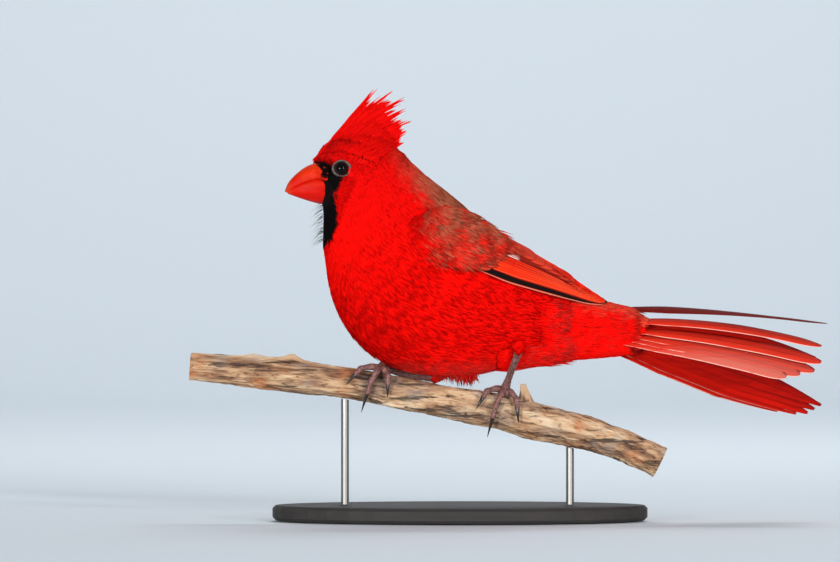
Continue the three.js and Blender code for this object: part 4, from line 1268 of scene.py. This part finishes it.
def tail_vane(vanes, side, half, i):
    slope = np.radians(half["slopes"][i])
    twist = np.radians(half["twist"][i])
    root = TAIL_ROOT + [0, side * TAIL_SPREAD * (i + 0.5) / 6, half["rise"][i] * MM]
    tip = np.array(half["tips"][i]) * MM
    width = half["widths"][i] * MM

    def surface(u, v):
        turned = (slope + twist * (1 - u) ** 2)[..., None]
        wide = Y * side * np.cos(turned) - Z * np.sin(turned)
        lift = Y * side * np.sin(turned) + Z * np.cos(turned)
        inner = np.where(v < 0, 1.25, 0.75)
        out = v * inner * width / 2 * (0.45 + 0.55 * np.minimum(1, u * 1.6))
        place = root + (tip - root) * u[..., None] + wide * out[..., None]
        place = place + lift * (0.5 * MM * (1 - v * v) - 0.42 * MM * i)[..., None]
        place = place + Z * (half["sag"][i] * MM * 4 * u * (1 - u))[..., None]
        return place, unit(lift + wide * (0.5 * v)[..., None] * 0.3)

    dark = 1.0 if side < 0 and i == 0 else 0.0
    marks = [dark, half["under"], half["pale"][i]]
    point = half["under"] * 0.8
    vanes.add(surface, 60, 13, 0.2 * MM, marks, rng.uniform(), 0.012, 0.12 * MM, half["taper"], point)


# The ring where the tail coverts end: its middle, its reach up and down, and half its breadth
COVERT_X, COVERT_Z, COVERT_UP, COVERT_DOWN, COVERT_HALF = 76, 75.0, 6.2, 6.4, 5.4
GOLDEN_TURN = 2.399963


def covert_end(turn):
    """The place on that ring at a turn from its top."""
    cos = np.cos(turn)
    high = COVERT_Z + np.where(cos > 0, COVERT_UP, COVERT_DOWN) * cos
    return MM * np.stack([COVERT_X + 0 * turn, COVERT_HALF * np.sin(turn), high], -1)


def tail_coverts():
    """Long soft feathers over the tail's root, above and below."""
    vanes = Vanes()
    for k in range(34):
        turn = np.array(k * GOLDEN_TURN % (2 * np.pi))
        start = np.array(rng.uniform(14.4, 16.4))
        long = rng.uniform(0.7, 1.05)
        near, _, normal = body_frame(start, turn)
        far = covert_end(turn)
        wide = unit(np.cross(normal, unit(far - near)))
        raised = rng.uniform(-0.7, 0.2) * MM
        brown = 0.4 * smooth(np.cos(turn), 0.3, 0.8)

        def surface(u, v):
            bow = 4 * u * (1 - u) * 0.7 * MM - v * v * 1.3 * MM + raised
            place = near + (far - near) * (u * long)[..., None] + wide * (v * 3.3 * MM)[..., None]
            return place + normal * bow[..., None], unit(normal + wide * 0.5 * v[..., None])

        marks = [0, brown, 0.2 * (np.cos(turn) < 0)]
        vanes.add(surface, 24, 9, 0.14 * MM, marks, rng.uniform(), 0.05, 0, 0.6)
    vanes.piece("tail_coverts", "plumage", "tail")
    n = 620
    turn, u = rng.uniform(0, 2 * np.pi, n), rng.uniform(-0.2, 0.62, n)
    start = np.full(n, 15.2)
    near, _, normal = body_frame(start, turn)
    way = covert_end(turn) - near
    root = near + way * u[:, None] + normal * (0.75 * MM + 1.6 * MM * u * (1 - u))[:, None]
    marks = np.stack([0 * u, 0.45 * smooth(np.cos(turn), 0.2, 0.8), rng.uniform(0, 0.25, n)], -1)
    length = rng.uniform(6.5, 9.5, n) * MM
    tufts = blades_of(root, unit(way), normal, length, 2.8 * MM, marks, unwrap(start + 2.6 * u, turn),
                      blades=8, fan=0.3, rise=0.12)
    coat_piece("tail_covert_coat", tufts)


def make_tail():
    tail_coverts()
    vanes = Vanes()
    for side, half in TAIL.items():
        for i in range(6):
            tail_vane(vanes, side, half, i)
    vanes.piece("tail_vanes", "tail", "tail", "tail")


# Perch: x, z and radius along its middle line

PERCH = MM * np.array([
    [-108, 61.4, 5.6], [-89, 60.0, 6.2], [-70, 57.8, 6.9], [-46, 54.8, 6.4], [-22, 50.4, 6.4],
    [-3, 46.6, 6.8], [16, 43.4, 7.0], [35, 38.8, 7.2], [54, 33.4, 6.6], [69, 28.2, 6.4], [80, 22.8, 6.4],
])
# Share of the length, degrees round the branch, height in mm, and half the size along and round
PERCH_BUMPS = [
    (0.21, 90, 1.7, 0.014, 34), (0.13, 80, 0.8, 0.02, 40), (0.40, 250, 0.8, 0.03, 50),
    (0.66, 262, 1.1, 0.03, 60), (0.78, 75, 0.9, 0.05, 50),
]
SNAG_FOOT, SNAG_TIP = np.array([26.2, 0, 46.6]) * MM, np.array([25.4, 0, 54.4]) * MM
BARK_DEPTH = 0.42 * MM


def perch_path(share):
    """Places on the perch's middle line and its radius there."""
    row = curve(PERCH, np.asarray(share) * (len(PERCH) - 1))
    return np.stack([row[..., 0], 0 * row[..., 0], row[..., 1]], -1), row[..., 2]


def perch_share(x):
    """The share of the perch's length at x."""
    shares = np.linspace(0, 1, 2001)
    return np.interp(x, perch_path(shares)[0][:, 0], shares)


def bark_noise(draw, s, a, along, round_it, shift=0.0):
    """A noise at each share of the length and turn round the branch."""
    found = [
        draw(Vector((s_ * along, np.cos(a_) * round_it, np.sin(a_) * round_it + shift)))
        for s_, a_ in zip(s.ravel(), a.ravel())
    ]
    return np.array(found).reshape(s.shape)


def make_perch():
    rows, sides = 620, 132
    share = np.linspace(0.0005, 0.9995, rows)
    path, core = perch_path(share)
    s, a = np.meshgrid(share, turns(sides), indexing="ij")
    radius = np.repeat(core[:, None], sides, 1)
    for along, at, high, wide, arc in PERCH_BUMPS:
        off = np.abs((np.degrees(a) - at + 540) % 360 - 180) / arc
        radius += high * MM * np.exp(-(((s - along) / wide) ** 2) - off**2)
    radius += BARK_DEPTH * (np.sin(3 * a + 9 * s) + np.sin(5 * a - 31 * s)) / 2
    rough = bark_noise(lambda place: noise.fractal(place, 0.7, 2.1, 4), s, a, 16, 2.6)
    groove = np.exp(-((bark_noise(noise.noise, s, a, 22, 5.2, 7) / 0.07) ** 2))
    ends = smooth(s, 0, 0.004) * smooth(1 - s, 0, 0.004)
    radius += (0.5 * rough - 0.55 * groove * ends) * MM - 0.25 * MM
    points, faces = closed_tube(tube_rings(path, radius, sides, Z))
    high = np.concatenate([(rough * 0.5 + 0.5 - groove * 0.4).ravel(), [0.5, 0.5]])
    run = np.concatenate([s.ravel(), [0, 1]])
    ring = np.concatenate([np.ones(rows * sides), [0, 0]])
    perch = new_piece("perch_bark", points, faces, "bark", {"bark": np.stack([run, ring, high], -1)})
    perch.data.materials.append(LOOKS["heartwood"])
    sawn = (faces >= rows * sides).any(1)
    perch.data.polygons.foreach_set("material_index", sawn.astype(np.int32))
    belongs(perch, "bark", "perch")
    make_snag()


def make_snag():
    """The broken stub of a twig on top of the branch."""
    share = np.linspace(0, 1, 30)[:, None]
    path = SNAG_FOOT + (SNAG_TIP - SNAG_FOOT) * share + X * (np.sin(share * 5) * 0.25 * MM)
    turn = turns(40)
    swell = 1 + 0.12 * np.sin(3 * turn + 4 * share) + 0.06 * np.sin(7 * turn)
    radius = (4.2 + (1.0 - 4.2) * share**0.55) * swell * MM
    points, faces = closed_tube(tube_rings(path, radius, 40, Y))
    colours = {"bark": np.tile([0.6, 1.0, 0.45], (len(points), 1))}
    belongs(new_piece("perch_snag", points, faces, "bark", colours), "bark")


# Legs and feet


def round_perch(x, degrees, away):
    """A place near the perch, at an angle from its top towards the camera."""
    share = perch_share(x)
    middle, _ = perch_path(share)
    ahead, _ = perch_path(np.minimum(share + 0.01, 1))
    behind, _ = perch_path(np.maximum(share - 0.01, 0))
    way = unit(ahead - behind)
    up = np.stack([-way[..., 2], 0 * way[..., 0], way[..., 0]], -1)
    turn = np.radians(degrees)
    return middle + up * (np.cos(turn) * away)[..., None] - Y * (np.sin(turn) * away)[..., None]


# Hip, heel and bend of the tarsus in mm, where the foot grips the perch as x and degrees, how far each
# toe goes along it and leans, and the thigh's breadth at the hip and the heel
LEGS = {
    "left": {
        "hip": [20, -17.6, 76],
        "heel": [23.6, -18.6, 68.4],
        "bend": [0, -0.8, 0.4],
        "grip": (16.2, 26),
        "toes": [-5.4, -1.6, 3.4, 0.6],
        "lean": [-3.0, -1.4, 3.2, 0],
        "thigh": (5.6, 2.8),
    },
    "right": {
        "hip": [3, 8, 65],
        "heel": [-10.2, 9.5, 56.8],
        "bend": [0, 1.2, -1.4],
        "grip": (-33.4, 4),
        "toes": [-5.6, -1.6, 2.8, 0.6],
        "lean": [-4.4, -2.0, 1.6, 0],
        "thigh": (7.6, 3.6),
    },
}
TARSUS, HEEL, ANKLE, SCUTES = 1.25 * MM, 1.75 * MM, 1.9 * MM, 9
TOE, TOE_TIP, TOE_CLEAR = 1.35 * MM, 0.9 * MM, 1.1 * MM
BALL = [2.9, 2.5, 2.1]
CLAW = 0.8 * MM
TUCK = -0.9 * MM
# Where each toe begins and ends round the perch in degrees, its claw's arc, and how far the claw's tip
# leaves the toe's line
TOE_ARCS = [
    ("inner", 14, 62, 32, TUCK), ("middle", 14, 106, 44, 3.2 * MM), ("outer", 14, 74, 34, TUCK),
    ("hind", 4, -94, -40, TUCK),
]


def toe_path(leg, i, first, last, steps, tuck=0.0):
    """Places along a toe or its claw, from one angle round the perch to another."""
    _, start, end, _, _ = TOE_ARCS[i]
    u = np.linspace(0, 1, steps)
    degrees = first + (last - first) * u
    share = (degrees - start) / (end - start)
    out, lean = np.clip(share * 1.6, None, 1), np.clip(share - 0.2, 0, None)
    x = (leg["grip"][0] + leg["toes"][i] * out + leg["lean"][i] * lean) * MM
    knuckle = np.sin(np.pi * np.clip(share, 0, 1)) * 0.8 * MM
    away = perch_path(perch_share(x))[1] + TOE + TOE_CLEAR + knuckle + tuck * u * u
    return round_perch(x, degrees, away)


def scaled_tube(path, radius, sides, upward, plates, depth):
    """A tube with overlapping plates across its front, and small scales behind."""
    length = np.concatenate([[0], np.cumsum(np.linalg.norm(np.diff(path, axis=0), axis=1))])
    share = length / length[-1]
    turn = turns(sides)
    plate = 1 - (share[:, None] * plates + 0.12 * np.cos(turn)) % 1
    swell = radius[:, None] + depth * plate**0.6 * (0.6 + 0.4 * np.sin(turn))
    return closed_tube(tube_rings(path, swell, sides, upward))


def foot_ball(ankle):
    """The knob that the toes meet in."""
    high = np.linspace(-0.98, 0.98, 20)[:, None] * np.pi / 2
    x, y, z = BALL
    knob = [np.cos(high) * x * np.cos(turns(28)), np.cos(high) * y * np.sin(turns(28))]
    knob.append(np.repeat(np.sin(high) * z, 28, 1))
    return closed_tube(np.stack(knob, -1) * MM + ankle - Z * 0.3 * MM)


def make_legs():
    for name, leg in LEGS.items():
        grip, degrees = leg["grip"]
        away = perch_path(perch_share(grip * MM))[1] + ANKLE
        ankle = round_perch(np.array(grip * MM), np.array(degrees), away)
        heel, hip, bend = (np.array(leg[key]) * MM for key in ("heel", "hip", "bend"))
        u = np.linspace(0, 1, 150)
        path = heel + (ankle + Z * MM - heel) * u[:, None] + bend * np.sin(np.pi * u)[:, None]
        knee, foot = (1 - u * 5) * (HEEL - TARSUS), (u * 4 - 3) * (ANKLE - TARSUS)
        radius = TARSUS + np.maximum.reduce([knee, foot, 0 * u])
        parts = [scaled_tube(path, radius, 28, Y, SCUTES, 0.22 * MM)]
        for i, (_, first, last, _, _) in enumerate(TOE_ARCS):
            toe = toe_path(leg, i, first, last, 90)
            share = np.linspace(0, 1, 90)
            radius = TOE + (TOE_TIP - TOE) * share + 0.13 * MM * np.cos(share * 3 * 2 * np.pi)
            parts.append(scaled_tube(toe, radius, 22, X, 11, 0.16 * MM))
        points, faces = joined([*parts, foot_ball(ankle)])
        belongs(new_piece(f"leg_scales_{name}", points, faces, "leg"), "leg", f"leg_{name}", f"foot_{name}")
        make_claws(name, leg)
        make_thigh(name, leg, hip, heel)


def make_claws(name, leg):
    for i, (toe, _, last, hook, tuck) in enumerate(TOE_ARCS):
        first = last - np.sign(hook) * 4
        path = toe_path(leg, i, first, last + hook, 40, tuck)
        u = np.linspace(0, 1, 40)
        radius = CLAW * (1 - u**1.4) + 0.08 * MM
        points, faces = closed_tube(tube_rings(path, radius, 16, X))
        belongs(new_piece(f"claw_horn_{name}_{toe}", points, faces, "claw"), "claw", f"claw_{name}_{toe}")


def make_thigh(name, leg, hip, heel):
    """Feathers down the thigh to the heel."""
    n = 240
    u = rng.uniform(0.6, 0.95, n)
    turn = rng.uniform(0, 2 * np.pi, n)
    wide, narrow = leg["thigh"]
    way = unit(heel - hip)
    side = unit(np.cross(way, Y))
    top = np.cross(side, way)
    normal = side * np.cos(turn)[:, None] + top * np.sin(turn)[:, None]
    radius = (wide + (narrow - wide) * u) * MM * 0.45
    root = hip + (heel - hip) * u[:, None] + normal * radius[:, None]
    marks = marks_at(root)
    marks[:, :2] = 0
    length = np.where(u > 0.6, 3.0, 5.0) * MM * rng.uniform(0.8, 1.2, n)
    patch = np.stack([0.1 + 0.8 * turn / 7, 0.1 + 0.8 * u], -1)
    lie = np.tile(way, (n, 1))
    tufts = blades_of(root, lie, normal, length, 1.8 * MM, marks, patch, rise=0.12)
    coat_piece(f"thigh_coat_{name}", tufts)


# Bristles round the bill, by Geometry Nodes


def named_input(tree, name, kind, value):
    """The identifier of a new input of a tree."""
    socket = tree.interface.new_socket(name, in_out="INPUT", socket_type=kind)
    socket.default_value = value
    return socket.identifier


def grown(name, source, tree, sizes, slot):
    """The plain mesh that a Geometry Nodes tree makes of a source object."""
    change = source.modifiers.new("grown", "NODES")
    change.node_group = tree
    for identifier, value in sizes.items():
        change[identifier] = value
    bpy.context.view_layer.update()
    mesh = bpy.data.meshes.new_from_object(source.evaluated_get(bpy.context.evaluated_depsgraph_get()))
    source.modifiers.remove(change)
    bpy.data.objects.remove(source)
    piece = bpy.data.objects.new(name, mesh)
    mesh.name = name
    scene.collection.objects.link(piece)
    return belongs(piece, slot)


def strands(name, paths):
    """An object of separate open polylines."""
    mesh = bpy.data.meshes.new(name)
    points = [tuple(p) for path in paths for p in path]
    edges, start = [], 0
    for path in paths:
        edges += [(start + i, start + i + 1) for i in range(len(path) - 1)]
        start += len(path)
    mesh.from_pydata(points, edges, [])
    made = bpy.data.objects.new(name, mesh)
    scene.collection.objects.link(made)
    return made


BRISTLE = 0.1 * MM  # radius at the root


def bristle_tree():
    """Turns polylines into tapered hairs."""
    tree = bpy.data.node_groups.new("bristles", "GeometryNodeTree")
    tree.interface.new_socket("Geometry", in_out="INPUT", socket_type="NodeSocketGeometry")
    thick = named_input(tree, "Thickness", "NodeSocketFloat", BRISTLE)
    sides = named_input(tree, "Sides", "NodeSocketInt", 5)
    tree.interface.new_socket("Geometry", in_out="OUTPUT", socket_type="NodeSocketGeometry")
    net = Net(tree)
    given = tree.nodes.new("NodeGroupInput")
    geometry, thickness, count = (Link(net, given.outputs[i]) for i in range(3))
    lines = net.node("GeometryNodeMeshToCurve", {}, {0: geometry})
    share = net.node("GeometryNodeSplineParameter")
    circle = {"Resolution": count, "Radius": 1.0}
    ring = net.node("GeometryNodeCurvePrimitiveCircle", {"mode": "RADIUS"}, circle)
    scale = thickness * (1.02 - share)
    tubes = {"Curve": lines, "Profile Curve": ring, "Scale": scale, "Fill Caps": True}
    hairs = net.node("GeometryNodeCurveToMesh", {}, tubes)
    hairs = net.node("GeometryNodeRealizeInstances", {}, {0: hairs})
    hairs = net.node("GeometryNodeSetMaterial", {}, {"Geometry": hairs, "Material": LOOKS["claw"]})
    end = tree.nodes.new("NodeGroupOutput")
    tree.links.new(hairs.socket, end.inputs[0])
    return tree, thick, sides


def bill_root_coat():
    """Short black feathers that lie forward over the bill's root."""
    n = 420
    turn = rng.uniform(0, 2 * np.pi, n)
    t = rng.uniform(0.5, 1.6, n)
    place, lie, normal = body_frame(t, turn)
    marks = marks_at(place)
    clear = (marks[:, 0] > 0.6) & (place[:, 2] > 126 * MM)
    clear &= place[:, 0] > FEATHER_LINE(place[:, 2]) + 0.4 * MM
    length = rng.uniform(1.8, 3.2, n) * MM
    root = place + normal * 0.2 * MM
    points, faces, colours, patch = blades_of(
        root, -lie, normal, length, 1.0 * MM, marks, unwrap(t, turn), blades=5, fan=0.7, rise=0.3, curl=0.2
    )
    blade = np.repeat(clear, 5)
    keep = np.repeat(blade, BLADE_POINTS)
    faces = (np.cumsum(keep) - 1)[faces[np.repeat(blade, len(BLADE))]]
    colours = {key: value[keep] for key, value in colours.items()}
    coat_piece("bill_root_coat", (points[keep], faces, colours, patch[keep]))


CHIN_LINE = by_place([(108, -54.6), (118, -55.2), (127, -55.0)])  # x of the roots, by height


def make_bristles():
    """Black bristles that curve forward and down before the chin and throat."""
    paths = []
    for k in range(48):
        z = rng.uniform(112, 127.5) * MM
        side = rng.uniform(-1, 1)
        root = np.array([CHIN_LINE(z) + 1.2 * MM * abs(side), side * 4.6 * MM, z])
        way = unit(np.array([-0.85 + rng.normal(0, 0.1), side * 0.4, -0.42 + rng.normal(0, 0.16)]))
        long = rng.uniform(3.0, 6.4) * MM
        u = np.linspace(0, 1, 7)[:, None]
        paths.append(root + way * long * u - Z * (0.34 * long) * u * u)
    tree, thick, sides = bristle_tree()
    grown("chin_bristles", strands("bristle_lines", paths), tree, {thick: BRISTLE, sides: 5}, "claw")


# Stand, stage and light


def make_stand():
    for node in ("stand_base", "stand_rod_front", "stand_rod_rear"):
        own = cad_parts[node]
        own.data.materials.clear()
        own.data.materials.append(LOOKS["base" if node == "stand_base" else "rod"])


FLOOR, SWEEP_START, SWEEP_BEND = -0.0005, 2.2, 0.9


def make_stage():
    """A pale sweep: a floor that bends up into a back wall, far behind."""
    turn = np.linspace(0, np.pi / 2, 24)[:, None]
    bend = [SWEEP_START, SWEEP_BEND] + SWEEP_BEND * np.hstack([np.sin(turn), -np.cos(turn)]) + [0, FLOOR]
    run = [[-4.0, FLOOR], *bend, [SWEEP_START + SWEEP_BEND, 5.0]]
    points = np.array([[x, y, z] for y, z in run for x in (-4.0, 4.0)])
    sweep = new_piece("sweep", points, grid_faces(len(run), 2, False), "stage")


def light(name, place, aim, size, power):
    lamp = bpy.data.objects.new(name, bpy.data.lights.new(name, "AREA"))
    lamp.data.energy, lamp.data.size = power, size
    lamp.location = place
    lamp.rotation_euler = (Vector(aim) - Vector(place)).to_track_quat("-Z", "Y").to_euler()
    scene.collection.objects.link(lamp)


def make_light():
    middle = (0, 0, 0.1)
    light("key", (0.85, -1.9, 0.72), middle, 0.25, 13)
    light("fill", (-0.9, -1.9, 0.16), middle, 0.3, 27)
    light("catch", (1.25, -1.9, 0.32), (-0.047, -0.01, 0.14), 0.05, 16)
    light("rim", (0.3, 0.9, 1.2), middle, 0.7, 6)
    light("wall", (0, 1.5, 2.4), (0, 3.1, 0.6), 1.2, 26)
    world = bpy.data.worlds.new("room")
    world.use_nodes = True
    sky = world.node_tree.nodes["Background"]
    sky.inputs["Color"].default_value = (0.93, 0.96, 1.0, 1)
    sky.inputs["Strength"].default_value = 0.34
    scene.world = world
    scene.view_settings.view_transform = "Standard"


make_skin()
make_coat()
make_bill()
make_eyes()
make_crest()
make_wings()
make_tail()
make_legs()
bill_root_coat()
make_bristles()
make_perch()
make_stand()
make_stage()
make_light()

bpy.context.view_layer.update()
